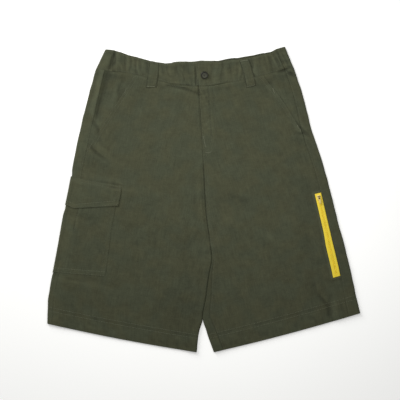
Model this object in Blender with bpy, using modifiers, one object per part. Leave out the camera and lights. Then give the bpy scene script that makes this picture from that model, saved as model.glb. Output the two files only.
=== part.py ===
"""Knee-length cargo shorts, laid flat with the front up.

Sizes are in millimetres and seen from above: +X runs to the wearer's left, +Y to
the waist, and Z = 0 is the surface that the shorts lie on. Each cut piece is one
wall of cloth. A leg and the waistband are flattened tubes: a point on them is
given by how far down it is and by its arc round the tube from the side fold,
positive over the front and negative under the back.
"""

from collections import namedtuple
from math import cos, hypot, pi, sin

import bmesh
import bpy
from mathutils import Matrix, Vector

MM = 0.001

# Cloth
CLOTH = 1.2  # wall of the body cloth
BAND_CLOTH = 2.0  # waistband wall, with its elastic
GAP = 0.3  # air at a seam and between pieces that lie on each other
LAYER = CLOTH + GAP  # height that one more layer of cloth adds
BAND_LAYER = BAND_CLOTH + GAP
INSEAM_GAP = 0.5  # at the inseam's fold, whose rims close in towards its middle
SEAM_TURN = 0.25  # the last strip at a seam in a bend, short so that its rim is square

# Height of the front's upper face
REST_TOP = 3.8  # in the middle of a leg
SIDE_RISE = 1.8  # more at the side folds
WAIST_RISE = 1.9  # more at the waist seam
INNER_RISE = 1.8  # more at the inseam folds
BAND_TOP = 6.4  # the front waistband's upper face
BAND_SIDE_RISE = 1.3  # more at its side folds

# Openings and overlaps
CROTCH = 312  # down the centre line, where the two legs part
FLY_END = 128  # down the centre line, where the fly's overlap ends
FLY_UNDERLAP = 18  # how far the right front runs on under the left one
POCKET_UNDERLAP = 14  # how far a facing runs on under the front's slanted edge
OVERLAP_RISE = 1.6  # how far an overlapping edge stands above what is under it
BUTTON_OVERLAP = (178, 214)  # along the band, where its two ends cover each other
GATHER_HEIGHT = 1.5  # of the waistband's elastic gathers
GATHER_PITCH = 13

# Cargo pocket, on the wearer's right leg, centred on the side seam
POCKET_MIDDLE = 17  # arc of its centre line, on the front side of the fold
FLAP_HALF_WIDTH = 89
FLAP_TOP = 227  # down the leg
FLAP_CORNER = 271  # its lower edge at the corners
FLAP_POINT = 292  # and at the middle
POCKET_TOP = 246
POCKET_BOTTOM = 417
POCKET_HALF_WIDTH = (77, 85)  # at the top and at the bottom

# Zipped pocket, on the wearer's left leg, beside the side seam
ZIP_TOP = 264
ZIP_BOTTOM = 448
ZIP_WIDTH = 12.5
ZIP_TAPE = 1.0
ZIP_ASIDE = 1  # from the side seam to the tape
SLIDER_DOWN = 9  # from the tape's upper end to the slider's middle
SLIDER = (7.8, 10.5, 2.5)  # across the zip, along it, and thick
BRIDGE_REACH = 2.4  # from the pull's bar to the middle of each of the bridge's feet
BRIDGE_HEIGHT = 3.0  # above the slider's body
BRIDGE_WIDTH = 1.8
BRIDGE_FOOT = 0.8
BRIDGE_DECK = 0.8
FOOT_SUNK = 0.6  # how far the feet run on into the body
PULL = (4.6, 13.0, 1.1)
PULL_BAR = 1.1  # the bar between the pull's end and its window
PULL_WINDOW = (2.8, 4.2)
BAR_HEIGHT = 1.25  # of the bar's middle above the slider's body
PULL_DROOP = 5  # degrees below level, where it lies at rest

BUTTON_ACROSS = 197.5  # along the band
BUTTON_RADIUS = 7.5
BUTTON_THICK = 3.2
BUTTON_HOLE = 0.8  # radius
BUTTON_HOLES_OUT = 1.7  # from the middle to each hole's middle
LOOP_WIDTH = 19
LOOP_TAIL = 12  # below the waist seam

CENTRE_SHIFT = (-0.1, -1.3)  # puts the origin under the middle of the outline

# One row for each section across the legs. "down" runs along the centre line and
# the inseam. The legs share the centre line to the notch, then part by half_gap.
# right and left are the side folds, inset is how far the side seam lies inside
# them on the front, turn how far the inseam lies on the front of the left leg.
LegRow = namedtuple(
    "LegRow",
    "place down centre_x centre_y half_gap right_x right_y left_x left_y sag right_inset left_inset turn",
)
LEG_ROWS = [
    LegRow("waist seam", 0, -9.4, 226, 0, -215, 261.5, 179.5, 264, 0, 19, 18, 0),
    LegRow("hips", 66, -5.3, 160, 0, -232, 201, 200, 203, 0, 21, 19, 0),
    LegRow("fly end", 128, -2, 98, 0, -246.3, 142, 214.4, 144, 0, 22, 20, 0),
    LegRow("seat", 196, 1.2, 30, 0, -259.8, 77, 235, 82, 0.5, 21, 20, 0),
    LegRow("flap", 245, 4, -19, 0, -268.3, 30.5, 248, 37.3, 1, 18, 20, 0),
    LegRow("crotch", 312, 12.6, -86, 0, -281.2, -32.5, 263.8, -25.8, 1, 16, 20, 0),
    LegRow("inseam top", 343, 16.2, -117, 0, -286.3, -61.5, 271.2, -54.5, 1.5, 15, 20, 4),
    LegRow("thigh", 374, 10.6, -148, 0, -291.6, -92, 279, -81.3, 2, 14, 21, 8),
    LegRow("low thigh", 421, 4.2, -195, 0, -300.4, -138.4, 289, -122, 2, 13, 21, 13),
    LegRow("notch", 460, -2.4, -234, 0, -307.6, -177.3, 296.8, -155.4, 2.5, 12, 22, 17),
    LegRow("gap", 488, -2, -262, 7.5, -311.4, -206, 302.4, -182.4, 2.5, 11, 23, 20),
    LegRow("hem", 529, 2.9, -304, 17.3, -312.4, -247, 312.6, -226, 3, 10, 24, 22),
]

# One row for each place along the waistband, from the wearer's right side fold to
# the left one: its upper edge, its seam with the legs, and how far the front's
# upper edge lies below the back's.
BandRow = namedtuple("BandRow", "place across top_x top_y seam_x seam_y peek")
BAND_ROWS = [
    BandRow("right fold", 0, -196, 301, -215, 261.5, 0.5),
    BandRow("right seam", 15, -181, 299.5, -187, 257.5, 1),
    BandRow("right gathers", 46, -151.4, 290, -150, 253, 1),
    BandRow("right loop", 94, -103.4, 277, -104, 242, 1),
    BandRow("right front", 137, -60, 274.5, -48, 229.5, 1),
    BandRow("button", 196, 0, 277.5, 0, 227.5, 1),
    BandRow("left front", 233, 38, 281, 38, 233, 3.5),
    BandRow("left loop", 282, 86, 287, 88, 241.5, 4),
    BandRow("left gathers", 320, 121, 294.5, 138, 254, 3),
    BandRow("left fold", 363, 161.8, 306.6, 179.5, 264, 0.5),
]

# Slanted hand pockets: where each starts inside the side fold at the waist seam,
# and how far down it meets the side seam.
Opening = namedtuple("Opening", "start end")
OPENINGS = {"right": Opening(76, 168), "left": Opening(62, 146)}

# The largest soft folds of the front, each along a line, raised or (below 0) sunk.
Fold = namedtuple("Fold", "place x1 y1 x2 y2 width height")
FOLDS = [
    Fold("centre hollow", 0, 46, 11, -82, 13, -1.0),
    Fold("right of the fly", -60, 190, -45, 60, 34, 0.8),
    Fold("left of the fly", 70, 180, 45, 70, 34, 0.7),
    Fold("right crotch drag", -8, -70, -120, -20, 30, 0.9),
    Fold("left crotch drag", 32, -75, 130, -15, 30, 0.9),
    Fold("right thigh", -130, -120, -95, -235, 36, 1.0),
    Fold("left thigh", 110, -90, 150, -215, 36, 1.1),
    Fold("right hem", -215, -190, -200, -250, 30, 0.8),
    Fold("left hem ridge", 215, -150, 238, -225, 24, 1.3),
    Fold("left hem hollow", 236, -190, 258, -236, 16, -0.9),
]


def blend(low, high, share):
    return low + (high - low) * share


def ease(value, start, end):
    """0 up to start, 1 from end on, with a smooth step between them."""
    share = min(max((value - start) / (end - start), 0), 1)
    return share * share * (3 - 2 * share)


def fade(value, start, end):
    return 1 - ease(value, start, end)


def steps(start, end, count):
    """count values after start, evenly spaced, the last one at end."""
    return [blend(start, end, (step + 1) / count) for step in range(count)]


class Curve:
    """A smooth curve through one column of a table that never overshoots a row."""

    def __init__(self, rows, key, column):
        self.at = [getattr(row, key) for row in rows]
        self.values = [getattr(row, column) for row in rows]
        rises = [
            (self.values[i + 1] - self.values[i]) / (self.at[i + 1] - self.at[i])
            for i in range(len(rows) - 1)
        ]
        self.slopes = [rises[0]]
        for before, after in zip(rises, rises[1:]):
            level = before * after <= 0
            self.slopes.append(0 if level else 2 * before * after / (before + after))
        self.slopes.append(rises[-1])

    def __call__(self, at):
        last = len(self.at) - 2
        i = next((n for n in range(last) if at < self.at[n + 1]), last)
        length = self.at[i + 1] - self.at[i]
        t = (at - self.at[i]) / length
        if t < 0 or t > 1:  # runs on straight past the table's ends
            edge = i if t < 0 else i + 1
            return self.values[edge] + self.slopes[edge] * (at - self.at[edge])
        low, high = self.values[i], self.values[i + 1]
        bend = self.slopes[i] * t * (1 - t) ** 2 - self.slopes[i + 1] * t * t * (1 - t)
        return blend(low, high, t * t * (3 - 2 * t)) + length * bend


def fold_height(x, y):
    """Height that the soft folds add at a point of the front."""
    total = 0
    for fold in FOLDS:
        run = Vector((fold.x2 - fold.x1, fold.y2 - fold.y1))
        from_start = Vector((x - fold.x1, y - fold.y1))
        share = min(max(from_start.dot(run) / run.length_squared, 0), 1)
        away = (from_start - run * share).length
        tapered = 0.35 + 0.65 * sin(pi * share)
        total += fold.height * tapered * fade(away, 0, fold.width)
    return total


def pocket_lift(down):
    """Height of the cargo pocket's layers under the back of the right leg."""
    first = ease(down, FLAP_TOP - 15, FLAP_TOP - 1)
    second = ease(down, FLAP_TOP, POCKET_TOP - 6) * fade(down, FLAP_POINT + 2, FLAP_POINT + 18)
    return LAYER * (first * fade(down, POCKET_BOTTOM + 2, POCKET_BOTTOM + 18) + second)


class Tube:
    """A flattened tube of cloth between two folds, read by row and arc."""

    def closed(self, row):
        return 1

    def ring(self, row, arc, out=0):
        """Point on the outer face at an arc from the first fold, moved out from it."""
        width = self.width(row)
        near = self.fold_radius(row, 0)
        far = self.fold_radius(row, width)
        flat_end = near * pi / 2 + width - near - far
        girth = flat_end + far * pi / 2
        if arc < -girth - 0.001:  # past the second fold, so on the front
            arc += 2 * girth
        face = 1 if arc >= 0 else -1
        along = abs(arc)
        if along < near * pi / 2:
            turn = along / near
            x, y = self.plan(row, near - (near + out) * cos(turn))
            middle = self.height(row, near, -1) + near
            return Vector((x, y, middle + face * (near + out) * sin(turn)))
        if along <= flat_end:
            inset = near + along - near * pi / 2
            x, y = self.plan(row, inset)
            return Vector((x, y, self.height(row, inset, face) + face * out))
        turn = (girth - along) / far
        closed = self.closed(row)
        inward = blend(far * turn * 2 / pi, far * (1 - cos(turn)), closed)
        x, y = self.plan(row, width - inward)
        middle = self.height(row, width, -1) + far
        level = self.height(row, width, face)
        return Vector((x, y, blend(level, middle + face * far * sin(turn), closed) + face * out))

    def fold_radius(self, row, inset):
        return (self.height(row, inset, 1) - self.height(row, inset, -1)) / 2

    def girth(self, row):
        """Arc from the first fold's tip over the front to the second one's."""
        near = self.fold_radius(row, 0)
        far = self.fold_radius(row, self.width(row))
        return self.width(row) + (near + far) * (pi / 2 - 1)


class Band(Tube):
    """The waistband. Its rows run from 0 at the upper edge to 1 at the waist seam."""

    length = BAND_ROWS[-1].across
    top_x, top_y, seam_x, seam_y, peek = (
        Curve(BAND_ROWS, "across", column)
        for column in ("top_x", "top_y", "seam_x", "seam_y", "peek")
    )

    def width(self, row):
        return self.length

    def plan(self, row, inset):
        x = blend(self.top_x(inset), self.seam_x(inset), row)
        y = blend(self.top_y(inset), self.seam_y(inset), row)
        return x, y

    def height(self, row, inset, face):
        if face < 0:
            return LAYER
        sides = fade(inset, 12, 40) + ease(inset, self.length - 40, self.length - 12)
        return BAND_TOP + BAND_SIDE_RISE * sides + self.gathers(inset)

    def gathers(self, inset):
        right = ease(inset, 22, 32) * fade(inset, 66, 80)
        left = ease(inset, 300, 312) * fade(inset, 335, 345)
        phase = inset / GATHER_PITCH + 0.3 * sin(inset / 9)
        return GATHER_HEIGHT * (right + left) * (0.5 + 0.5 * sin(2 * pi * phase))

    def depth(self, inset):
        """Distance from the upper edge to the waist seam."""
        x1, y1 = self.plan(0, inset)
        x2, y2 = self.plan(1, inset)
        return hypot(x2 - x1, y2 - y1)


class Leg(Tube):
    """One leg, from the waist seam to the hem. Its first fold is at the side."""

    centre_x, centre_y, half_gap, sag, turn = (
        Curve(LEG_ROWS, "down", column)
        for column in ("centre_x", "centre_y", "half_gap", "sag", "turn")
    )
    waist_y = Curve(BAND_ROWS, "seam_x", "seam_y")

    def __init__(self, side):
        self.side = side
        self.sign = -1 if side == "right" else 1
        self.outer_x, self.outer_y, self.inset = (
            Curve(LEG_ROWS, "down", f"{side}_{column}") for column in ("x", "y", "inset")
        )
        self.opening = OPENINGS[side]

    def ends(self, down):
        """The side fold's tip and the inner edge, from above."""
        outer = Vector((self.outer_x(down), self.outer_y(down)))
        apart = self.sign * (self.half_gap(down) + GAP / 2)
        inner = Vector((self.centre_x(down) + apart, self.centre_y(down)))
        lift = self.lift(down)
        return outer + (inner - outer).normalized() * lift, inner

    def lift(self, down):
        return pocket_lift(down) if self.side == "right" else 0

    def width(self, down):
        outer, inner = self.ends(down)
        return (inner - outer).length

    def plan(self, down, inset):
        outer, inner = self.ends(down)
        share = inset / (inner - outer).length
        x, y = outer.lerp(inner, share) if 0 <= share <= 1 else outer + (inner - outer) * share
        y -= 4 * self.sag(down) * share * (1 - share)
        top_outer, top_inner = self.ends(0)
        top_x, top_y = top_outer + (top_inner - top_outer) * share
        within = min(max(share, 0), 1)
        y += (self.waist_y(top_x) - top_y) * fade(down, 0, 70) * (1 if within == share else 0)
        return x, y

    def closed(self, down):
        return ease(down, CROTCH - 6, CROTCH + 12)

    def height(self, down, inset, face):
        lift = self.lift(down)
        if face < 0:
            return max(
                lift * fade(inset, FLAP_HALF_WIDTH - POCKET_MIDDLE + 6, FLAP_HALF_WIDTH + 8),
                LAYER * fade(down, LOOP_TAIL + 3, LOOP_TAIL + 23),
            )
        x, y = self.plan(down, inset)
        below_waist = self.waist_y(min(max(x, BAND_ROWS[0].seam_x), BAND_ROWS[-1].seam_x)) - y
        return (
            REST_TOP
            + SIDE_RISE * fade(inset, 18, 75)
            + WAIST_RISE * fade(below_waist, 6, 60)
            + INNER_RISE * self.closed(down) * fade(self.width(down) - inset, 6, 45)
            + lift * fade(inset, FLAP_HALF_WIDTH + POCKET_MIDDLE + 4, 175)
            + fold_height(x, y)
        )

    def seam_arc(self, down):
        """Arc of the side seam, on the front."""
        return self.inset(down) + self.fold_radius(down, 0) * (pi / 2 - 1)

    def edge_arc(self, down):
        """Arc of the front's outer edge: the slanted opening, then the side seam."""
        slant = blend(self.opening.start, self.inset(self.opening.end), down / self.opening.end)
        inset = max(slant, self.inset(down)) if down < self.opening.end else self.inset(down)
        return inset + self.fold_radius(down, 0) * (pi / 2 - 1)

    def inseam_arc(self, down):
        """How far the inseam lies past the inner fold's tip, on the front."""
        return self.turn(down) if self.side == "left" else 0

    def inseam_gap(self, down):
        return INSEAM_GAP * (1 + 1.4 * fade(down, CROTCH + 14, CROTCH + 70)) * self.closed(down)

    def front_rise(self, down, arc):
        """How far the front stands over the facing and, on the left, over the fly."""
        opening = fade(arc - self.edge_arc(down), POCKET_UNDERLAP + 3, 46)
        opening *= fade(down, self.opening.end + 10, self.opening.end + 34)
        fly = 0
        if self.side == "left":
            fly = fade(self.girth(down) - arc, FLY_UNDERLAP, 46) * fade(down, FLY_END, FLY_END + 22)
        return OVERLAP_RISE * max(opening, fly)


def material(name, colour, roughness, metallic=0):
    made = bpy.data.materials.new(name)
    made.use_nodes = True
    shader = made.node_tree.nodes["Principled BSDF"]
    shader.inputs["Base Color"].default_value = (*colour, 1)
    shader.inputs["Roughness"].default_value = roughness
    shader.inputs["Metallic"].default_value = metallic
    made.diffuse_color = (*colour, 1)
    return made


def linked(name, mesh, finish, collection):
    mesh.materials.append(finish)
    made = bpy.data.objects.new(name, mesh)
    collection.objects.link(made)
    return made


def cloth(name, rows, columns, place, wall, finish, parts):
    """A wall of cloth: a grid whose points place(row, column) sets on its outer face."""
    mesh = bpy.data.meshes.new(name)
    grid = bmesh.new()
    bmesh.ops.create_grid(grid, x_segments=columns, y_segments=rows, size=1)
    for vert in grid.verts:
        column = round((vert.co.x + 1) / 2 * columns)
        row = round((1 - vert.co.y) / 2 * rows)
        x, y, z = place(row, column)
        vert.co = Vector((x + CENTRE_SHIFT[0], y + CENTRE_SHIFT[1], z)) * MM
    grid.to_mesh(mesh)
    grid.free()
    made = linked(name, mesh, finish, parts)
    thick = made.modifiers.new("wall", "SOLIDIFY")
    thick.thickness = wall * MM
    thick.offset = -1
    return made


def leg_rows(leg):
    """Stations down a leg, closest where layers start and end."""
    if leg.side == "right":
        stops = [GAP, 15, 35, 66, 98, 128, 150, 168, 190, 211, 226, 241, 268, 293]
    else:
        stops = [GAP, 15, 35, 64, 94, 124, 146, 168, 196, 224, 252, 280]
    return stops + [306, 316, 326, 344, 366, 392, 419, 436, 460, 476, 492, 510, 529]


def inner_arcs(leg, down):
    """Arcs of the inseam fold's bends on the front, from the flat to the seam."""
    girth = leg.girth(down)
    end = girth - leg.inseam_arc(down) - leg.inseam_gap(down) / 2
    if leg.side == "right":
        end += FLY_UNDERLAP * fade(down, FLY_END - 16, FLY_END - 2)
    start = min(girth - leg.fold_radius(down, leg.width(down)) * pi / 2, end) - 2
    return [start] + steps(start, end - SEAM_TURN, 3) + [end]


def front_panel(leg, finish, parts):
    stops = leg_rows(leg)

    def place(row, column):
        down = stops[row]
        inner = inner_arcs(leg, down)
        edge = leg.edge_arc(down) + GAP / 2
        near = [edge] + steps(edge, edge + 88 * (1 - edge / 400), 4)
        arcs = near + steps(near[-1], inner[0], 6) + inner[1:]
        arc = arcs[column if leg.side == "right" else len(arcs) - 1 - column]
        return leg.ring(down, arc, leg.front_rise(down, arc))

    return cloth(f"front_{leg.side}_leg", len(stops) - 1, 14, place, CLOTH, finish, parts)


def back_panel(leg, finish, parts):
    stops = leg_rows(leg)

    def place(row, column):
        down = stops[row]
        girth = leg.girth(down)
        far = leg.fold_radius(down, leg.width(down)) * pi / 2
        near = leg.fold_radius(down, 0) * pi / 2
        seam = leg.seam_arc(down) - GAP / 2
        past = leg.inseam_arc(down) - leg.inseam_gap(down) / 2
        start = -girth - past
        bend = max(-girth - min(past, far), blend(start, far - girth, 2 / 7))
        arcs = [start, start + SEAM_TURN, bend] + steps(bend, far - girth, 5)
        arcs += steps(far - girth, -near - 92, 5)
        arcs += steps(-near - 92, -near - 66, 2) + steps(-near - 66, -near, 3)
        arcs += steps(-near, near, 6) + steps(near, seam, 1)
        arc = arcs[column if leg.side == "right" else len(arcs) - 1 - column]
        return leg.ring(down, arc)

    return cloth(f"back_{leg.side}_leg", len(stops) - 1, 23, place, CLOTH, finish, parts)


def pocket_facing(leg, finish, parts):
    """The strip behind a slanted hand pocket, between the side seam and the front."""
    stops = [down for down in leg_rows(leg) if down <= leg.opening.end]
    stops.append(leg.opening.end + 4)

    def place(row, column):
        down = stops[row]
        seam = leg.seam_arc(down) + GAP / 2
        arcs = [seam] + steps(seam, leg.edge_arc(down) + POCKET_UNDERLAP, 4)
        arc = arcs[column if leg.side == "right" else len(arcs) - 1 - column]
        return leg.ring(down, arc)

    name = f"hand_pocket_facing_{leg.side}"
    return cloth(name, len(stops) - 1, 4, place, CLOTH, finish, parts)


def wrapped_arcs(half_width, fold):
    """Arcs of a piece that wraps over the side fold, centred on the side seam."""
    back = POCKET_MIDDLE - half_width - fold
    arcs = [back] + steps(back, -fold, 3) + steps(-fold, fold, 6)
    return arcs + steps(fold, POCKET_MIDDLE + half_width, 4)


def cargo_pocket(leg, finish, parts):
    stops = [POCKET_TOP] + [down for down in leg_rows(leg) if POCKET_TOP < down < 415]
    stops.append(POCKET_BOTTOM)

    def place(row, column):
        down = stops[row]
        share = (down - POCKET_TOP) / (POCKET_BOTTOM - POCKET_TOP)
        arcs = wrapped_arcs(blend(*POCKET_HALF_WIDTH, share), leg.fold_radius(down, 0) * pi / 2)
        return leg.ring(down, arcs[column], LAYER)

    return cloth("cargo_pocket", len(stops) - 1, 13, place, CLOTH, finish, parts)


def cargo_flap(leg, finish, parts):
    shares = [0, 0.3, 0.5, 0.75, 1]

    def arc_at(down, column):
        return wrapped_arcs(FLAP_HALF_WIDTH, leg.fold_radius(down, 0) * pi / 2)[column]

    def place(row, column):
        off_middle = abs(arc_at(FLAP_TOP, column) - POCKET_MIDDLE) / FLAP_HALF_WIDTH
        lower_edge = blend(FLAP_POINT, FLAP_CORNER, min(off_middle, 1))
        down = blend(FLAP_TOP, lower_edge, shares[row])
        return leg.ring(down, arc_at(down, column), leg.lift(down))

    return cloth("cargo_flap", len(shares) - 1, 13, place, CLOTH, finish, parts)


def front_band(band, side, finish, parts):
    """One half of the front waistband. The left half's end lies over the right one's."""
    start, end = BUTTON_OVERLAP
    if side == "right":
        acrosses = [19.5] + steps(19.5, 80, 20) + steps(80, end, 7)
    else:
        acrosses = [start] + steps(start, end + 4, 3) + steps(end + 4, 300, 8)
        acrosses += steps(300, band.length - 19.5, 14)
    bend = band.fold_radius(0, 0) * (pi / 2 - 1)

    def place(row, column):
        across = acrosses[column]
        depth = band.depth(across)
        drop = blend(band.peek(across) / depth, 1 - GAP / depth, row / 3)
        rise = BAND_LAYER * fade(across, end + 6, end + 34) if side == "left" else 0
        return band.ring(drop, across + bend, rise)

    name = f"front_waistband_{side}"
    return cloth(name, 3, len(acrosses) - 1, place, BAND_CLOTH, finish, parts)


def back_band(band, finish, parts):
    """The back waistband, which comes round both folds to the side seams."""
    bend = band.fold_radius(0, 0) * pi / 2
    girth = band.girth(0)
    seam = 19.2 + band.fold_radius(0, 0) * (pi / 2 - 1)
    arcs = [-girth - seam] + steps(-girth - seam, -girth - bend, 2)
    arcs += steps(-girth - bend, bend - girth, 6) + steps(bend - girth, -bend, 14)
    arcs += steps(-bend, bend, 6) + steps(bend, seam, 2)

    def place(row, column):
        depth = band.depth(min(abs(arcs[column]), band.length))
        return band.ring(row / 3 * (1 - GAP / depth), arcs[column])

    return cloth("back_waistband", 3, len(arcs) - 1, place, BAND_CLOTH, finish, parts)


def belt_loop(band, name, across, face, finish, parts):
    """A strip over the waistband, tacked at its upper edge and below the waist seam."""
    tail = LOOP_TAIL / band.depth(across)
    drops = [0.04, 0.12, 0.5, 0.88, 1 + tail * 0.3, 1 + tail]

    def place(row, column):
        drop = drops[row]
        inset = across + (column / 2 - 0.5) * LOOP_WIDTH * face
        x, y = band.plan(drop, inset)
        bow = 0.7 * sin(pi * min(drop, 1)) + 1.0 * ease(drop, 0.6, 1)
        return x, y, band.height(drop, across, face) + face * LAYER + max(face, 0) * bow

    return cloth(name, len(drops) - 1, 2, place, CLOTH, finish, parts)


def zip_frame(leg):
    """Place and turn of the zip's upper end: X across it, Y down it, Z off the cloth."""
    middle = leg.seam_arc(ZIP_TOP) + ZIP_ASIDE + ZIP_WIDTH / 2
    at = leg.ring(ZIP_TOP + SLIDER_DOWN, middle, GAP + ZIP_TAPE)
    further = leg.ring(ZIP_TOP + SLIDER_DOWN + 20, middle, GAP + ZIP_TAPE)
    down = (further - at).normalized()
    across = down.cross(Vector((0, 0, 1))).normalized()
    turned = Matrix((across, down, across.cross(down))).transposed().to_4x4()
    at += Vector((*CENTRE_SHIFT, 0))
    return Matrix.Translation(at * MM) @ turned


def zip_tape(leg, finish, parts):
    stops = [ZIP_TOP] + [down for down in leg_rows(leg) if ZIP_TOP < down < ZIP_BOTTOM]
    stops.append(ZIP_BOTTOM)

    def place(row, column):
        down = stops[row]
        edge = leg.seam_arc(down) + ZIP_ASIDE
        return leg.ring(down, edge + ZIP_WIDTH * (1 - column / 2), GAP + ZIP_TAPE)

    return cloth("thigh_zip_tape", len(stops) - 1, 2, place, ZIP_TAPE, finish, parts)


def moved_to(collection, made):
    for user in list(made.users_collection):
        user.objects.unlink(made)
    collection.objects.link(made)
    return made


def block(name, size, at, collection, rounding=0):
    """A box, its size and middle in millimetres, with its edges rounded."""
    bpy.ops.mesh.primitive_cube_add(size=1)
    made = moved_to(collection, bpy.context.object)
    made.name = name
    made.data.transform(Matrix.Diagonal((*(Vector(size) * MM), 1)))
    made.data.transform(Matrix.Translation(Vector(at) * MM))
    if rounding:
        bevel = made.modifiers.new("rounded edges", "BEVEL")
        bevel.width = rounding * MM
        bevel.segments = 2
    return made


def joined(made, other, operation):
    change = made.modifiers.new(operation.lower(), "BOOLEAN")
    change.operation = operation
    change.object = other
    other.hide_render = True
    other.display_type = "WIRE"


def zip_slider(frame, finish, parts, helpers):
    """The slider: a rounded body and a bridge that holds the pull's bar."""
    top = GAP + SLIDER[2]
    made = block("zip_slider", SLIDER, (0, 0, GAP + SLIDER[2] / 2), parts, 0.7)
    foot = (BRIDGE_WIDTH, BRIDGE_FOOT, BRIDGE_HEIGHT)
    foot_middle = top - FOOT_SUNK + BRIDGE_HEIGHT / 2
    deck = (BRIDGE_WIDTH, 2 * BRIDGE_REACH + BRIDGE_FOOT, BRIDGE_DECK)
    deck_middle = top + BRIDGE_HEIGHT - BRIDGE_DECK / 2
    bridge = [
        block("upper bridge foot", foot, (0, -BRIDGE_REACH, foot_middle), helpers),
        block("lower bridge foot", foot, (0, BRIDGE_REACH, foot_middle), helpers),
        block("bridge deck", deck, (0, 0, deck_middle), helpers),
    ]
    for piece in bridge:
        joined(made, piece, "UNION")
        piece.matrix_world = frame
    made.matrix_world = frame
    made.data.materials.append(finish)
    return made


def pull_axis(frame):
    """Middle of the pull's bar, between the slider's body and its bridge."""
    return frame @ Matrix.Translation((0, 0, (GAP + SLIDER[2] + BAR_HEIGHT) * MM))


def zip_pull(frame, finish, parts, helpers):
    """The pull tab, about its bar. It hangs down the zip from the slider's bridge."""
    window_size = (*PULL_WINDOW, 2 * PULL[2])
    made = block("zip_pull", PULL, (0, (PULL[1] - PULL_BAR) / 2, 0), parts, 0.35)
    window_middle = (PULL_BAR + PULL_WINDOW[1]) / 2
    window = block("pull window", window_size, (0, window_middle, 0), helpers)
    joined(made, window, "DIFFERENCE")
    droop = Matrix.Rotation(-PULL_DROOP * pi / 180, 4, "X")
    for piece in (made, window):
        piece.matrix_world = pull_axis(frame) @ droop
    made.data.materials.append(finish)
    return made


def waist_button(band, finish, parts, helpers):
    """A four-hole button with a raised rim, as a turned profile."""
    x, y = band.plan(0.58, BUTTON_ACROSS)
    under = band.height(0.5, BUTTON_ACROSS, 1) + BAND_LAYER + GAP
    radius, thick = BUTTON_RADIUS, BUTTON_THICK
    profile = [(0, thick * 0.62), (radius * 0.62, thick * 0.62), (radius * 0.74, thick * 0.94)]
    profile += [(radius * 0.84, thick), (radius * 0.95, thick * 0.86), (radius, thick * 0.55)]
    profile += [(radius * 0.86, thick * 0.14), (radius * 0.7, 0), (0, 0)]
    mesh = bpy.data.meshes.new("waist_button")
    outline = bmesh.new()
    verts = [outline.verts.new((across * MM, 0, up * MM)) for across, up in profile]
    for first, second in zip(verts, verts[1:]):
        outline.edges.new((first, second))
    outline.to_mesh(mesh)
    outline.free()
    made = linked("waist_button", mesh, finish, parts)
    made.location = Vector((x + CENTRE_SHIFT[0], y + CENTRE_SHIFT[1], under)) * MM
    turned = made.modifiers.new("turned", "SCREW")
    turned.steps = turned.render_steps = 28
    turned.use_merge_vertices = True
    turned.merge_threshold = 0.00001
    for number in range(4):
        bpy.ops.mesh.primitive_cylinder_add(vertices=8, radius=BUTTON_HOLE * MM, depth=12 * MM)
        hole = moved_to(helpers, bpy.context.object)
        hole.name = f"button hole {number}"
        around = pi / 2 * (number + 0.5)
        aside = Vector((cos(around), sin(around), 0)) * BUTTON_HOLES_OUT
        hole.location = made.location + aside * MM
        joined(made, hole, "DIFFERENCE")
    return made


def main():
    for old in list(bpy.data.objects):
        bpy.data.objects.remove(old)
    parts = bpy.data.collections.new("cargo shorts")
    helpers = bpy.data.collections.new("cutters")
    for collection in (parts, helpers):
        bpy.context.scene.collection.children.link(collection)

    olive = (0.075, 0.078, 0.045)
    right, left, band = Leg("right"), Leg("left"), Band()
    for leg in (right, left):
        front_panel(leg, material(f"front {leg.side} twill", olive, 0.9), parts)
        back_panel(leg, material(f"back {leg.side} twill", olive, 0.9), parts)
        pocket_facing(leg, material(f"facing {leg.side} twill", olive, 0.9), parts)
        front_band(band, leg.side, material(f"{leg.side} band twill", olive, 0.9), parts)
    back_band(band, material("back band twill", olive, 0.9), parts)
    loops = {"front_right": (94, 1), "front_left": (282, 1), "back_right": (84, -1)}
    loops.update({"back_centre": (181, -1), "back_left": (280, -1)})
    for place, (across, face) in loops.items():
        finish = material(f"{place} loop twill", olive, 0.9)
        belt_loop(band, f"belt_loop_{place}", across, face, finish, parts)
    cargo_pocket(right, material("pocket twill", olive, 0.9), parts)
    cargo_flap(right, material("flap twill", olive, 0.9), parts)
    zip_tape(left, material("yellow tape", (0.66, 0.5, 0.03), 0.7), parts)
    frame = zip_frame(left)
    gunmetal = (0.12, 0.12, 0.12)
    zip_slider(frame, material("slider metal", gunmetal, 0.35, 1), parts, helpers)
    zip_pull(frame, material("pull metal", gunmetal, 0.35, 1), parts, helpers)
    waist_button(band, material("button resin", (0.06, 0.06, 0.045), 0.45), parts, helpers)


main()
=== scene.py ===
# Knee-length cargo shorts, laid flat with the front up.
# Sizes are in millimetres, seen from above: +X to the wearer's left, +Y to the waist.
# A leg and the waistband are flattened tubes, read by how far down and by the arc
# round them from the side fold, positive over the front and negative under the back.
from math import pi, radians

import bmesh
import bpy
import numpy as np
from mathutils import Matrix, Vector


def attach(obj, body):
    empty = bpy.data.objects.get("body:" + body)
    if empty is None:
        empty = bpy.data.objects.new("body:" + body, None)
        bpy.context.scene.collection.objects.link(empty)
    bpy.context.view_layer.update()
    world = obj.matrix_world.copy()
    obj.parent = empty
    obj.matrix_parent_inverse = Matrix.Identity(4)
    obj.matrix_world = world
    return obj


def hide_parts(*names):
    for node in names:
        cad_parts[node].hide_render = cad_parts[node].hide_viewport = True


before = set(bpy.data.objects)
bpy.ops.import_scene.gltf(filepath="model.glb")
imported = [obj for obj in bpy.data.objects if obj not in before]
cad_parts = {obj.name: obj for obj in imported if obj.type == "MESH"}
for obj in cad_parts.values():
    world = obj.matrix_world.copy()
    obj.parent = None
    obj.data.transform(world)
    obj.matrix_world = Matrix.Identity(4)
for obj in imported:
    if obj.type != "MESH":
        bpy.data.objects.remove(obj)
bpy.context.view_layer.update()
bpy.ops.object.select_all(action="DESELECT")
mm = 0.001
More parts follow.
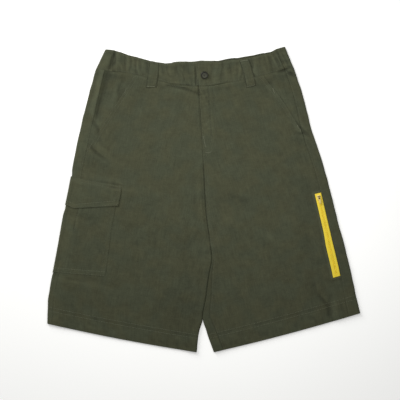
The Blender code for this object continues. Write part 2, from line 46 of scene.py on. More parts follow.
body = "shorts"
print("frame loaded:", len(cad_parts), "solids")


# small helpers for numbers and arrays
def blend(low, high, share):
    return low + (high - low) * share


def ease(value, start, end):
    share = np.clip((value - start) / (end - start), 0, 1)
    return share * share * (3 - 2 * share)


def fade(value, start, end):
    return 1 - ease(value, start, end)


def bell(away, width):
    # 1 where away is 0, falling smoothly on both sides of it
    return np.exp(-((away / width) ** 2))


def together(*values):
    # the values as arrays of one shape
    return np.broadcast_arrays(*(np.asarray(value, float) for value in values))


def single(measure, at):
    # one number from a measure that reads arrays
    return float(measure(np.array([float(at)]))[0])


def metres(values):
    return tuple(value * mm for value in values)


def unit(vectors):
    return vectors / np.maximum(np.linalg.norm(vectors, axis=-1, keepdims=True), 1e-9)


def softNoise(x, y, size, seed):
    # smooth noise from -1 to 1, with its lumps about one size across
    lattice = np.random.default_rng(seed).uniform(-1, 1, (97, 97))
    u, v = np.asarray(x) / size, np.asarray(y) / size
    i, j = np.floor(u).astype(int), np.floor(v).astype(int)
    fu, fv = ease(u - i, 0, 1), ease(v - j, 0, 1)
    low = blend(lattice[i % 97, j % 97], lattice[(i + 1) % 97, j % 97], fu)
    high = blend(lattice[i % 97, (j + 1) % 97], lattice[(i + 1) % 97, (j + 1) % 97], fu)
    return blend(low, high, fv)


class Curve:
    # a smooth curve through one column of a table, which never overshoots a row
    def __init__(self, table, key, column):
        names = table["columns"].split()
        self.at = np.array([row[names.index(key)] for row in table["rows"]], float)
        self.values = np.array([row[names.index(column)] for row in table["rows"]], float)
        rises = np.diff(self.values) / np.diff(self.at)
        before, after = rises[:-1], rises[1:]
        same = before * after > 0
        middle = 2 * before * after / np.where(same, before + after, 1)
        self.slopes = np.concatenate([rises[:1], np.where(same, middle, 0), rises[-1:]])

    def __call__(self, at):
        at = np.asarray(at, float)
        i = np.clip(np.searchsorted(self.at, at, side="right") - 1, 0, len(self.at) - 2)
        length = self.at[i + 1] - self.at[i]
        t = (at - self.at[i]) / length
        bend = self.slopes[i] * t * (1 - t) ** 2 - self.slopes[i + 1] * t * t * (1 - t)
        inside = blend(self.values[i], self.values[i + 1], t * t * (3 - 2 * t)) + length * bend
        before = self.values[0] + self.slopes[0] * (at - self.at[0])
        after = self.values[-1] + self.slopes[-1] * (at - self.at[-1])
        return np.where(t < 0, before, np.where(t > 1, after, inside))


# The form that the cloth lies on, which is much the same as that of the solids
form = {
    "cloth": 1.2,
    "gap": 0.3,
    "seam": -0.06,  # sewn edges meet
    "restTop": 3.8,
    "sideRise": 1.8,
    "waistRise": 1.9,
    "innerRise": 1.8,
    "bandTop": 6.4,
    "bandSideRise": 1.3,
    "bandCloth": 2.0,
    "crotch": 312,
    "hem": 529,  # how far down it is
    "hemRows": (27, 34),  # of stitching, up from the hem
    "innerLift": (322, 372),  # down, where one leg's inner edge rises over the other's
    "waistEnds": (-215, 179.5),
    "flyEnd": 128,
    "flyUnderlap": 18,
    "pocketUnderlap": 14,
    "overlapRise": 1.6,
    "loopTail": 12,
    "centreShift": (-0.1, -1.3, 0),
    "threadFoot": -0.2,  # the lowest that a thread under the back lies
}
layer = form["cloth"] + form["gap"]
halfSeam = form["seam"] / 2
legTable = {
    "columns": "place down centreX centreY halfGap rightX rightY leftX leftY"
    " sag rightInset leftInset turn",
    "rows": [
        ("waist seam", 0, -9.4, 226, 0, -215, 261.5, 179.5, 264, 0, 19, 18, 0),
        ("hips", 66, -5.3, 160, 0, -232, 201, 200, 203, 0, 21, 19, 0),
        ("fly end", 128, -2, 98, 0, -246.3, 142, 214.4, 144, 0, 22, 20, 0),
        ("seat", 196, 1.2, 30, 0, -259.8, 77, 235, 82, 0.5, 21, 20, 0),
        ("flap", 245, 4, -19, 0, -268.3, 30.5, 248, 37.3, 1, 18, 20, 0),
        ("crotch", 312, 12.6, -86, 0, -281.2, -32.5, 263.8, -25.8, 1, 16, 20, 0),
        ("inseam top", 343, 16.2, -117, 0, -286.3, -61.5, 271.2, -54.5, 1.5, 15, 20, 4),
        ("thigh", 374, 10.6, -148, 0, -291.6, -92, 279, -81.3, 2, 14, 21, 8),
        ("low thigh", 421, 4.2, -195, 0, -300.4, -138.4, 289, -122, 2, 13, 21, 13),
        ("notch", 460, -2.4, -234, 0, -307.6, -177.3, 296.8, -155.4, 2.5, 12, 22, 17),
        ("gap", 488, -2, -262, 7.5, -311.4, -206, 302.4, -182.4, 2.5, 11, 23, 20),
        ("hem", 529, 2.9, -304, 17.3, -312.4, -247, 312.6, -226, 3, 10, 24, 22),
    ],
}
bandTable = {
    "columns": "place across topX topY seamX seamY peek",
    "rows": [
        ("right fold", 0, -196, 301, -215, 261.5, 0.5),
        ("right seam", 15, -181, 299.5, -187, 257.5, 1),
        ("right gathers", 46, -151.4, 290, -150, 253, 1),
        ("right loop", 94, -103.4, 277, -104, 242, 1),
        ("right front", 137, -60, 274.5, -48, 229.5, 1),
        ("button", 196, 0, 277.5, 0, 227.5, 1),
        ("left front", 233, 38, 281, 38, 233, 3.5),
        ("left loop", 282, 86, 287, 88, 241.5, 4),
        ("left gathers", 320, 121, 294.5, 138, 254, 3),
        ("left fold", 363, 161.8, 306.6, 179.5, 264, 0.5),
    ],
}
# how the band's upper edge waves
edgeTable = {
    "columns": "across rise",
    "rows": [
        (0, 0), (46, 0.6), (66, 1.4), (82, 1.8), (92, 0.6), (104, 0), (114, -0.6),
        (122, -1.3), (130, -1), (137, 1.4), (147, 2.6), (160, 2), (175, 1), (189, 1.6),
        (200, 1), (210, -0.2), (222, -1.3), (232, -1), (240, 0.2), (250, 0.5), (262, 0),
        (275, 0.5), (290, 0.2), (315, 0), (325, -1.2), (333, -1.7), (343, -0.2), (363, 0),
    ],
}
# the hand pockets' openings: inside the fold at the waist, and down at the seam
openings = {"right": (79, 168), "left": (62, 128)}
waistLine = Curve(bandTable, "seamX", "seamY")

# the front's broad folds, which the solids have too
foldTable = {
    "columns": "place x1 y1 x2 y2 width height",
    "rows": [
        ("centre hollow", 0, 46, 11, -82, 13, -1.0),
        ("right of the fly", -60, 190, -45, 60, 34, 0.8),
        ("left of the fly", 70, 180, 45, 70, 34, 0.7),
        ("right crotch drag", -8, -70, -120, -20, 30, 0.9),
        ("left crotch drag", 32, -75, 130, -15, 30, 0.9),
        ("right thigh", -130, -120, -95, -235, 36, 1.0),
        ("left thigh", 110, -90, 150, -215, 36, 1.1),
        ("right hem", -215, -190, -200, -250, 30, 0.8),
        ("left hem ridge", 215, -150, 238, -225, 24, 1.3),
        ("left hem hollow", 236, -190, 258, -236, 16, -0.9),
    ],
}


def foldHeight(x, y):
    total = np.zeros_like(x)
    for place, x1, y1, x2, y2, width, height in foldTable["rows"]:
        runX, runY = x2 - x1, y2 - y1
        share = np.clip(((x - x1) * runX + (y - y1) * runY) / (runX**2 + runY**2), 0, 1)
        away = np.hypot(x - x1 - runX * share, y - y1 - runY * share)
        total += height * (0.35 + 0.65 * np.sin(pi * share)) * fade(away, 0, width)
    return total


pocket = {
    "middle": 17,
    "flapHalfWidth": 86,
    "flapTop": 227,
    "flapCorner": 269.5,
    "flapPoint": 292,
    "top": 246,
    "bottom": 419.2,
    "halfWidth": (80, 88),
}


def pocketLift(down):
    first = ease(down, pocket["flapTop"] - 15, pocket["flapTop"] - 1)
    second = ease(down, pocket["flapTop"], pocket["top"] - 6)
    second = second * fade(down, pocket["flapPoint"] + 2, pocket["flapPoint"] + 18)
    return layer * (first * fade(down, pocket["bottom"] + 2, pocket["bottom"] + 18) + second)


class Tube:
    def closed(self, down):
        return np.ones_like(down)

    def radius(self, down, inset):
        return (self.height(down, inset, 1) - self.height(down, inset, -1)) / 2

    def nearRadius(self, down):
        return self.radius(down, np.zeros_like(down))

    def farRadius(self, down):
        return self.radius(down, self.width(down))

    def girth(self, down):
        bends = self.nearRadius(down) + self.farRadius(down)
        return self.width(down) + bends * (pi / 2 - 1)

    def ring(self, down, arc, out=0.0):
        # the point on the outer face at an arc from the first fold, moved out from it
        down, arc, out = together(down, arc, out)
        width = self.width(down)
        near, far = self.nearRadius(down), self.farRadius(down)
        flatEnd = near * pi / 2 + width - near - far
        girth = flatEnd + far * pi / 2
        arc = np.where(arc < -girth - 0.001, arc + 2 * girth, arc)
        face, along = np.where(arc >= 0, 1.0, -1.0), abs(arc)
        onNear, onFlat = along < near * pi / 2, along <= flatEnd
        turnNear = np.clip(along / near, 0, pi / 2)
        turnFar = np.minimum((girth - along) / far, pi / 2)
        closed = self.closed(down)
        inward = blend(far * turnFar * 2 / pi, far * (1 - np.cos(turnFar)), closed)
        around, flat = near - (near + out) * np.cos(turnNear), near + along - near * pi / 2
        inset = np.where(onNear, around, np.where(onFlat, flat, width - inward))
        x, y = self.plan(down, inset)
        nearZ = self.height(down, near, -1) + near + face * (near + out) * np.sin(turnNear)
        flatZ = self.height(down, inset, face) + face * out
        level, middle = self.height(down, width, face), self.height(down, width, -1) + far
        farZ = blend(level, middle + face * far * np.sin(turnFar), closed) + face * out
        z = np.where(onNear, nearZ, np.where(onFlat, flatZ, farZ))
        return np.stack([x, y, z], -1)


class Leg(Tube):
    centreX, centreY, halfGap, sag, turn = (
        Curve(legTable, "down", column)
        for column in ("centreX", "centreY", "halfGap", "sag", "turn")
    )

    def __init__(self, side):
        self.side = side
        self.sign = -1 if side == "right" else 1
        self.outerX, self.outerY, self.inset = (
            Curve(legTable, "down", side + column) for column in ("X", "Y", "Inset")
        )
        self.openStart, self.openEnd = openings[side]

    def ends(self, down):
        outer = np.stack([self.outerX(down), self.outerY(down)], -1)
        apart = self.sign * (self.halfGap(down) + halfSeam)
        inner = np.stack([self.centreX(down) + apart, self.centreY(down)], -1)
        return outer + unit(inner - outer) * self.lift(down)[..., None], inner

    def lift(self, down):
        return pocketLift(down) if self.side == "right" else np.zeros_like(down)

    def width(self, down):
        outer, inner = self.ends(down)
        return np.linalg.norm(inner - outer, axis=-1)

    def plan(self, down, inset):
        outer, inner = self.ends(down)
        share = inset / np.linalg.norm(inner - outer, axis=-1)
        point = outer + (inner - outer) * share[..., None]
        x, y = point[..., 0], point[..., 1] - 4 * self.sag(down) * share * (1 - share)
        topOuter, topInner = self.ends(np.zeros_like(down))
        top = topOuter + (topInner - topOuter) * share[..., None]
        within = (share >= 0) & (share <= 1)
        y = y + (waistLine(top[..., 0]) - top[..., 1]) * fade(down, 0, 70) * within
        return x, y

    def closed(self, down):
        return ease(down, form["crotch"] - 6, form["crotch"] + 12)

    def height(self, down, inset, face):
        down, inset, face = together(down, inset, face)
        lift = self.lift(down)
        reach = pocket["flapHalfWidth"]
        back = np.maximum(
            lift * fade(inset, reach - pocket["middle"] + 6, reach + 8),
            layer * fade(down, form["loopTail"] + 3, form["loopTail"] + 23),
        )
        x, y = self.plan(down, inset)
        belowWaist = waistLine(np.clip(x, *form["waistEnds"])) - y
        front = (
            form["restTop"]
            + form["sideRise"] * fade(inset, 18, 75)
            + form["waistRise"] * fade(belowWaist, 6, 60)
            + form["innerRise"] * self.closed(down) * fade(self.width(down) - inset, 6, 45)
            + lift * fade(inset, reach + pocket["middle"] + 4, 175)
            + foldHeight(x, y)
        )
        return np.where(face < 0, back, front)

    def seamArc(self, down):
        return self.inset(down) + self.nearRadius(down) * (pi / 2 - 1)

    def edgeArc(self, down):
        # the front's outer edge: the slanted opening, then the side seam
        seam = self.inset(down)
        slant = blend(self.openStart, self.inset(self.openEnd), down / self.openEnd)
        inset = np.where(down < self.openEnd, np.maximum(slant, seam), seam)
        return inset + self.nearRadius(down) * (pi / 2 - 1)

    def inseamArc(self, down):
        return self.turn(down) if self.side == "left" else np.zeros_like(down)

    def frontRise(self, down, arc):
        # how far the front stands over the facing and, on the left, over the fly
        rise = fade(arc - self.edgeArc(down), form["pocketUnderlap"] + 3, 46)
        rise = rise * fade(down, self.openEnd + 10, self.openEnd + 34)
        if self.side == "left":
            fly = fade(self.girth(down) - arc, form["flyUnderlap"], 46)
            rise = np.maximum(rise, fly * fade(down, form["flyEnd"], form["flyEnd"] + 22))
        return form["overlapRise"] * rise


class Band(Tube):
    topX, topY, seamX, seamY, peek = (
        Curve(bandTable, "across", column) for column in ("topX", "topY", "seamX", "seamY", "peek")
    )
    rise = Curve(edgeTable, "across", "rise")
    length = float(bandTable["rows"][-1][1])

    def width(self, drop):
        return np.full_like(drop, self.length)

    def plan(self, drop, inset):
        x = blend(self.topX(inset), self.seamX(inset), drop)
        return x, blend(self.topY(inset) + self.rise(inset), self.seamY(inset), drop)

    def height(self, drop, inset, face):
        drop, inset, face = together(drop, inset, face)
        sides = fade(inset, 12, 40) + ease(inset, self.length - 40, self.length - 12)
        front = form["bandTop"] + form["bandSideRise"] * sides
        return np.where(face < 0, layer, front)

    def depth(self, inset):
        x1, y1 = self.plan(np.zeros_like(inset), inset)
        x2, y2 = self.plan(np.ones_like(inset), inset)
        return np.hypot(x2 - x1, y2 - y1)


legs = {side: Leg(side) for side in ("right", "left")}
band = Band()


# Creases listed one by one: a line, how wide and high (below 0, a trough), which
# side of it is the steeper, and how far its middle bows aside
creaseTable = {
    "columns": "place x1 y1 x2 y2 width height lean bow",
    "rows": [
        ("under the fly", 0, 60, 12, -84, 2.2, -0.35, -0.2, 1.5),
        ("beside it", -10, 60, 2, -80, 6, 0.5, 0.3, 1.5),
        ("beside the fly", -10.5, 222, -4.2, 120, 1.7, -0.7, 0.3, 0),
        ("right of that", -22, 216, -14, 96, 6, 0.35, 0, 0),
        ("under the band", -72, 229, -15, 214, 2.8, -1.5, 0.3, -2.5),
        ("fly head", -16, 220, -8, 206, 3, -0.6, 0.3, 0),
        ("right pocket foot", -229, 111, -196, 82, 3.2, -1.0, 0.3, 2),
        ("above the foot", -218, 116, -190, 94, 5, 0.45, 0, 2),
        ("right hip", -222, 158, -208, 126, 4.5, -1.0, 0.2, -3),
        ("right facing", -162, 236, -170, 204, 8, -0.8, -0.4, 3),
        ("beside the facing", -146, 226, -158, 190, 8, 0.4, 0, 3),
        ("left pocket foot", 190, 150, 210, 128, 3.4, -1.3, 0.2, 1),
        ("under the left foot", 186, 134, 204, 134, 3, -0.9, 0.2, 1),
        ("beside the left foot", 184, 150, 198, 128, 5, 0.4, 0, 0),
        ("left facing", 152, 196, 176, 156, 8, -0.6, -0.3, 3),
        ("left hem fork", 232, -192, 251, -216, 3.6, -0.9, 0.3, -1),
        ("left hem fork side", 250, -192, 251, -216, 3, -0.4, -0.2, 0),
        ("left hem stem", 250, -212, 256, -238, 5.5, -1.7, 0.3, 0),
        ("left hem slope", 216, -134, 226, -200, 13, -0.9, 0.4, 4),
        ("left hem shoulder", 262, -196, 267, -234, 6.5, 0.8, -0.3, 0),
        ("left thigh blot", 46, 10, 96, -16, 15, -0.9, 0.3, -3),
        ("left thigh light", 40, -30, 62, -46, 14, 0.7, 0, 0),
        ("left knee light", 122, -68, 142, -80, 11, 0.6, 0, 0),
        ("left thigh long", 92, 40, 150, -40, 14, -0.35, 0.3, 8),
        ("right thigh long", -70, 20, -140, -60, 13, -0.35, 0.3, -8),
        ("right knee", -95, -66, -98, -106, 5, -0.4, 0.2, 1),
        ("right knee light", -118, -72, -124, -126, 9, 0.35, 0.2, 2),
        ("right low dip", -104, -206, -40, -236, 20, -0.5, 0.3, 4),
        ("right low ridge", -150, -160, -112, -228, 11, 0.4, 0.3, 6),
        ("left low dip", 64, -160, 92, -236, 14, -0.35, 0.2, 5),
        ("left low ridge", 38, -176, 52, -246, 8, 0.35, 0.2, 3),
        ("left side drag", 226, -60, 190, -150, 9, -0.4, 0.2, 6),
        ("left side light", 246, -70, 214, -160, 9, 0.35, 0.2, 6),
        ("right seat", -150, 120, -60, 96, 12, -0.3, 0.2, 6),
        ("left seat", 60, 120, 150, 90, 12, -0.3, 0.2, -6),
        ("right under pocket", -276, -157, -238, -161, 2.6, -0.5, 0.2, 0),
        ("flap corner tuck", -194, 28, -168, 23, 1.8, -0.6, 0.2, 0),
        ("fly top", -10.6, 229, -8.6, 210, 1.6, -0.9, 0.2, 0),
        ("beside the loop's foot", 81, 240, 87, 230, 2.4, -0.9, 0.2, 0),
        ("left end", 151, 256, 170, 264, 3, -2.4, 0.3, 1),
        ("left end roll", 150, 262, 170, 270, 5, 0.5, -0.2, 1),
        ("left end foot", 169, 255, 186, 245, 3.2, -2.3, 0.3, -1),
    ],
}


def creased(table, x, y):
    total = np.zeros_like(x)
    for place, x1, y1, x2, y2, width, height, lean, bow in table["rows"]:
        length = np.hypot(x2 - x1, y2 - y1)
        runX, runY = (x2 - x1) / length, (y2 - y1) / length
        along = (x - x1) * runX + (y - y1) * runY
        share = np.clip(along / length, 0, 1)
        aside = (x - x1) * runY - (y - y1) * runX - bow * 4 * share * (1 - share)
        beyond = np.maximum(np.maximum(-along, along - length), 0)
        reach = width * np.where(aside > 0, 1 + lean, 1 - lean)
        shape = np.exp(-((aside / reach) ** 2) - (beyond / (1.6 * width)) ** 2)
        total += height * shape * (0.4 + 0.6 * np.sin(pi * share))
    return total


def crumple(x, y):
    # the cloth's own unevenness, which no crease accounts for
    broad = softNoise(x, y, 46, 11) * 0.3 + softNoise(x, y, 21, 12) * 0.24
    return broad + softNoise(x, y, 9.5, 13) * 0.11 + softNoise(x, y, 5.2, 14) * 0.05


def frontRelief(x, y):
    return creased(creaseTable, x, y) + crumple(x, y)


# patches of painted shade and painted light, where folds, steps and edges lie in shade or catch
# the light, with some uneven fading of the cloth too
shadeAndFadeTable = {
    "columns": "place x y reachX reachY turn tone",
    "rows": [
        ("right facing", -176, 246, 22, 12, 0, -0.7),
        ("right facing inside", -168, 212, 8, 15, 0, -0.6),
        ("right fold strip", -217, 212, 6, 66, -17, 0.8),
        ("right fold strip foot", -243, 118, 10, 42, -14, 0.6),
        ("right edge", -266, -50, 14, 80, -10, 0.6),
        ("right edge foot", -298, -190, 14, 60, -9, 0.7),
        ("right band end", -176, 274, 7, 15, -14, -0.8),
        ("right pocket foot", -216, 134, 7, 10, 0, -0.4),
        ("fly head", -27, 224, 14, 9, 0, -0.5),
        ("fly foot", 5, 150, 6, 16, 0, 0.4),
        ("beside the fly", 24, 160, 9, 40, 0, 0.25),
        ("left band", 140, 264, 26, 12, 0, -0.5),
        ("left band end", 164, 252, 20, 10, 0, -1.0),
        ("left pocket mouth", 146, 212, 8, 20, 40, 0.3),
        ("left pocket tack", 187, 144, 6, 14, 38, 0.5),
        ("left pocket foot", 202, 134, 9, 8, 0, -0.4),
        ("left hip", 116, 150, 34, 22, 0, -0.15),
        ("left seat", 49, 56, 28, 14, -25, 0.3),
        ("left thigh", 66, 4, 30, 15, 0, -0.4),
        ("left thigh foot", 52, -38, 16, 10, 0, 0.3),
        ("left thigh side", 163, -40, 24, 30, 0, 0.35),
        ("left knee", 132, -72, 14, 9, 0, 0.3),
        ("above the zip", 193, 30, 14, 10, 0, -0.35),
        ("beside the zip", 212, -90, 9, 95, 17, -0.4),
        ("left edge", 255, 20, 5, 90, 17, -0.5),
        ("left low side", 222, -180, 15, 38, 20, -0.5),
        ("flap", -226, 20, 22, 9, 0, 0.2),
        ("flap end", -176, 28, 16, 5, -10, -0.4),
        ("pocket side", -183, -44, 14, 9, 0, 0.7),
        ("pocket foot", -262, -146, 20, 12, 0, 0.6),
        ("right knee", -108, -78, 34, 20, 0, -0.2),
        ("right low leg", -36, -225, 48, 55, 0, -0.65),
        ("right inner thigh", -24, -140, 30, 40, 0, -0.3),
        ("centre wedge", 14, -166, 7, 30, -6, -0.5),
        ("right band end strip", -197, 284, 6, 14, -14, 0.4),
        ("right band", -40, 264, 14, 10, 0, -0.4),
        ("left of the button", 49, 268, 9, 8, 0, 0.4),
        ("left loop", 103, 230, 20, 9, 0, -0.35),
        ("left belly", 53, 150, 16, 20, 0, -0.3),
        ("left crotch", 23, -10, 12, 20, 0, -0.3),
        ("left thigh outside", 129, 10, 13, 9, 0, -0.35),
        ("right thigh low", -127, -140, 14, 17, 0, -0.35),
        ("right thigh inside", -40, -82, 34, 20, 0, -0.3),
        ("flap middle", -237, 10, 18, 12, 0, 0.35),
        ("right hip", -197, 100, 18, 26, 0, 0.35),
        ("left hem corner", 283, -200, 14, 14, 0, 0.45),
        ("left hem fork", 243, -220, 10, 12, 0, -0.4),
        ("overlap", -37, 244, 12, 24, 0, -0.4),
        ("under the overlap", 26, 232, 10, 4, 0, 0.6),
        ("left gathers", 153, 268, 10, 13, 0, -0.4),
        ("left loop foot", 117, 224, 8, 8, 0, -0.4),
        ("right opening head", -150, 234, 10, 8, 0, -0.45),
        ("left opening foot", 186, 140, 8, 11, 0, -0.6),
        ("above the slider", 209, 0, 8, 40, 17, -0.35),
        ("right hem", -64, -286, 40, 6, -7, -0.5),
        ("left hem", 42, -290, 34, 6, 10, -0.5),
        ("right side low", -288, -150, 14, 16, 0, 0.3),
        ("right hem corner", -304, -238, 12, 16, 0, 0.45),
        ("right hem side", -240, -250, 50, 7, -10, 0.5),
        ("below the pocket", -168, -170, 13, 10, 0, 0.45),
        ("above the fly", 34, 262, 10, 12, 0, 0.2),
        ("left opening head", 133, 234, 5, 5, 0, -1.4),
        ("beside the opening head", 129, 226, 5, 5, 20, 0.9),
    ],
}


def shadedAndFaded(x, y):
    total = np.zeros_like(x)
    for place, atX, atY, reachX, reachY, turn, tone in shadeAndFadeTable["rows"]:
        east, north = np.cos(radians(turn)), np.sin(radians(turn))
        along, upward = (x - atX) * east + (y - atY) * north, (y - atY) * east - (x - atX) * north
        total += tone * np.exp(-((along / reachX) ** 2) - (upward / reachY) ** 2)
    return total


def puckers(along, pitch, seed):
    # uneven ripples along a seam, from 0 to 1
    uneven = along / pitch + 0.35 * softNoise(along, 0 * along, pitch * 2.3, seed)
    height = 0.65 + 0.35 * softNoise(along, 0 * along + 50, pitch * 3.1, seed)
    return height * (0.5 + 0.5 * np.sin(2 * pi * uneven))


class Face:
    # the outer face of a piece: its smooth base, moved along the normals by the relief
    def __init__(self, base, relief, sign):
        self.base, self.relief, self.sign = base, relief, sign
        self.piece = None

    def normals(self, down, arc):
        downward = self.base(down + 0.4, arc) - self.base(down - 0.4, arc)
        onward = self.base(down, arc + 0.4) - self.base(down, arc - 0.4)
        return unit(np.cross(downward, onward)) * self.sign


# Maths on a material's sockets reads as plain expressions.
class Shade:
    def __init__(self, finish, socket):
        self.finish, self.socket = finish, socket

    def maths(self, operation, *values, clamp=False):
        settings = {"operation": operation, "use_clamp": clamp}
        return self.finish.node("ShaderNodeMath", settings, dict(enumerate(values)))

    def __add__(self, other):
        return self.maths("ADD", self, other)

    def __sub__(self, other):
        return self.maths("SUBTRACT", self, other)

    def __rsub__(self, other):
        return self.maths("SUBTRACT", other, self)

    def __mul__(self, other):
        return self.maths("MULTIPLY", self, other)

    __radd__, __rmul__ = __add__, __mul__

    def sine(self):
        return self.maths("SINE", self)

    def size(self):
        return self.maths("ABSOLUTE", self)

    def between(self, low, high):
        # 0 up to low, 1 from high on, smooth between them
        settings = {"interpolation_type": "SMOOTHSTEP"}
        values = {"Value": self, "From Min": low, "From Max": high}
        return self.finish.node("ShaderNodeMapRange", settings, values)


class Finish:
    def __init__(self, name):
        self.material = bpy.data.materials.new(name)
        self.material.use_nodes = True
        self.tree = self.material.node_tree
        self.shader = self.tree.nodes["Principled BSDF"]
        self.material["finish"] = name

    def node(self, kind, settings=None, values=None, output=0):
        made = self.tree.nodes.new(kind)
        for key, value in (settings or {}).items():
            setattr(made, key, value)
        for key, value in (values or {}).items():
            self.feed(made.inputs[key], value)
        return Shade(self, made.outputs[output])

    def feed(self, socket, value):
        if isinstance(value, Shade):
            self.tree.links.new(value.socket, socket)
        else:
            socket.default_value = value

    def set(self, **values):
        for key, value in values.items():
            self.feed(self.shader.inputs[key.replace("_", " ")], value)
        return self

    def noise(self, where, size, detail=2.0, stretch=(1, 1, 1), rough=0.5):
        scale = tuple(1000 / size / part for part in stretch)
        placed = self.node("ShaderNodeMapping", {}, {"Vector": where, "Scale": scale})
        values = {"Vector": placed, "Scale": 1.0, "Detail": detail, "Roughness": rough}
        return self.node("ShaderNodeTexNoise", {}, values)

    def mix(self, share, first, second):
        values = {0: share, 6: first, 7: second}
        return self.node("ShaderNodeMix", {"data_type": "RGBA"}, values, output=2)

    def bump(self, height, strength=1.0):
        # height is in millimetres
        values = {"Height": height, "Distance": mm, "Strength": strength}
        return self.node("ShaderNodeBump", {}, values)

    def attribute(self, name):
        return self.node("ShaderNodeAttribute", {"attribute_name": name}, output=2)


def colour(red, green, blue, gain=1.0):
    # a colour as seen on a screen, from 0 to 255, as the shader needs it
    parts = [part / 255 for part in (red, green, blue)]
    linear = [part / 12.92 if part < 0.04 else ((part + 0.055) / 1.055) ** 2.4 for part in parts]
    return (*(part * gain for part in linear), 1)


twill = {
    "colour": (72.4, 76.2, 57.6),
    "warm": (74.4, 76, 55.6),
    "gain": 0.94,
    "pitch": 0.95,  # between two of its diagonal ribs
    "ribs": 0.035,  # their height
    "crinkle": 0.16,
    "mottle": 0.42,
    "slub": 0.62,
    "patch": 0.36,
    "warmPatch": 38,
}


def twillFinish(name, lines=(), tone=1.0, wearAndShade=0.3):
    # cotton twill. lines are the sewn rows: an attribute, where along it, width, depth
    finish = Finish(name)
    where = finish.node("ShaderNodeUVMap", {"uv_map": "cloth"})
    across = finish.node("ShaderNodeSeparateXYZ", {}, {"Vector": where}, "X") * 1000
    down = finish.node("ShaderNodeSeparateXYZ", {}, {"Vector": where}, "Y") * 1000
    ribs = ((across + down) * (2 * pi / twill["pitch"])).sine()
    mottle = finish.noise(where, 7.5, 3) - 0.5
    fine = finish.noise(where, 2.6, 2) - 0.5
    warp = finish.noise(where, 2.1, 3, (1, 14, 1)) - 0.5
    weft = finish.noise(where, 1.9, 3, (9, 1, 1)) - 0.5
    # this attribute brings paler worn ridges, painted shade in hollows, along edges and inside,
    # and the patches of painted shade and painted light
    wornAndShaded = finish.attribute("wearAndShade")
    broad = finish.noise(where, 24, 3) - 0.5
    slub = warp + weft * 0.6
    shade = 0.5 + mottle * twill["mottle"] + slub * twill["slub"] + fine * 0.3
    shade = shade + broad * twill["patch"]
    shade = shade + wornAndShaded * wearAndShade + ribs * 0.04
    height = ribs * twill["ribs"] + mottle * twill["crinkle"] + fine * (0.7 * twill["crinkle"])
    height = height + slub * 0.07
    for attribute, offset, width, depth in lines:
        away = (finish.attribute(attribute) - offset).size()
        groove = 1 - away.between(0, width)
        height = height - groove * depth
        # the groove is also painted darker: painted shade in it
        shade = shade - groove * (0.22 * depth / 0.3)
    gain = twill["gain"] * tone
    warmth = finish.noise(where, twill["warmPatch"], 1).between(0.36, 0.64)
    dark, light = (
        finish.mix(warmth, *(colour(*twill[hue], gain * part) for hue in ("colour", "warm")))
        for part in (0.62, 1.38)
    )
    finish.set(Base_Color=finish.mix(shade, dark, light), Roughness=0.92 - fine * 0.1)
    finish.set(Normal=finish.bump(height), Sheen_Weight=0.12, Sheen_Roughness=0.5)
    finish.set(Sheen_Tint=colour(120, 122, 96), Specular_IOR_Level=0.28)
    return finish.material


def plainFinish(name, tone, roughness, metallic=0.0, grain=0.6, relief=0.02, **more):
    # one colour with a fine grain, for thread, resin and metal
    finish = Finish(name)
    where = finish.node("ShaderNodeTexCoord", output="Object")
    grains = finish.noise(where, grain, 3) - 0.5
    low, high = (tuple(part * share for part in tone[:3]) + (1,) for share in (0.75, 1.25))
    finish.set(Base_Color=finish.mix(grains + 0.5, low, high), Roughness=grains * 0.3 + roughness)
    finish.set(Normal=finish.bump(grains * relief), Metallic=metallic, **more)
    return finish.material


threadFinish = plainFinish("olive thread", colour(88, 91, 71), 0.8, grain=0.4)
paleFinish = plainFinish("pale olive thread", colour(110, 113, 91), 0.8, grain=0.4)
tapeFinish = plainFinish("yellow tape", colour(250, 222, 56, 0.97), 0.62, grain=0.9, relief=0.06)
coilFinish = plainFinish("yellow coil", colour(250, 220, 44, 0.97), 0.45, grain=0.7)
enamelFinish = plainFinish(
    "pale yellow enamel", colour(236, 212, 120), 0.36, grain=0.9, relief=0.01
)
metalFinish = plainFinish("gunmetal", colour(112, 92, 84), 0.34, 1.0, 0.9, 0.01)


def buttonFinish():
    # dark resin: a dark rim, a paler dish and a small dark middle
    finish = Finish("button resin")
    where = finish.node("ShaderNodeTexCoord", output="Object")
    ends = {0: where, 1: metres(button["centre"])}
    away = finish.node("ShaderNodeVectorMath", {"operation": "DISTANCE"}, ends, output=1) * 1000
    dish = 1 - away.between(button["dish"] - 0.9, button["dish"] + 0.3)
    middle = 1 - away.between(button["eye"] - 0.4, button["eye"] + 0.5)
    grain = finish.noise(where, 1.4, 2) - 0.5
    tone = finish.mix(dish, colour(*button["rim"]), colour(*button["face"]))
    tone = finish.mix(middle * 0.7, tone, colour(*button["rim"]))
    finish.set(Base_Color=tone, Roughness=grain * 0.2 + 0.5, Normal=finish.bump(grain * 0.03))
    finish.set(Specular_IOR_Level=0.2)
    return finish.material


button = {
    "centre": (1.2, 246, 10.4),
    "dish": 5.0,
    "eye": 1.4,
    "rim": (46, 46, 38),
    "face": (68, 69, 56),
}
resinFinish = buttonFinish()
print("finishes made")


def gridNormals(points):
    return unit(np.cross(np.gradient(points, axis=0), np.gradient(points, axis=1)))


def fromEdges(points):
    # the distance along the grid to each of its edges: top, bottom, first and last column
    rows = np.linalg.norm(np.diff(points, axis=0), axis=-1)
    columns = np.linalg.norm(np.diff(points, axis=1), axis=-1)
    zeroRow, zeroColumn = np.zeros((1, points.shape[1])), np.zeros((points.shape[0], 1))
    top = np.concatenate([zeroRow, np.cumsum(rows, 0)], 0)
    first = np.concatenate([zeroColumn, np.cumsum(columns, 1)], 1)
    return top, top[-1:] - top, first, first[:, -1:] - first


def softened(values, times):
    for _ in range(times):
        padded = np.pad(values, 1, mode="edge")
        middle = padded[1:-1, 1:-1] * 2 + padded[:-2, 1:-1] + padded[2:, 1:-1]
        values = (middle + padded[1:-1, :-2] + padded[1:-1, 2:]) / 6
    return values
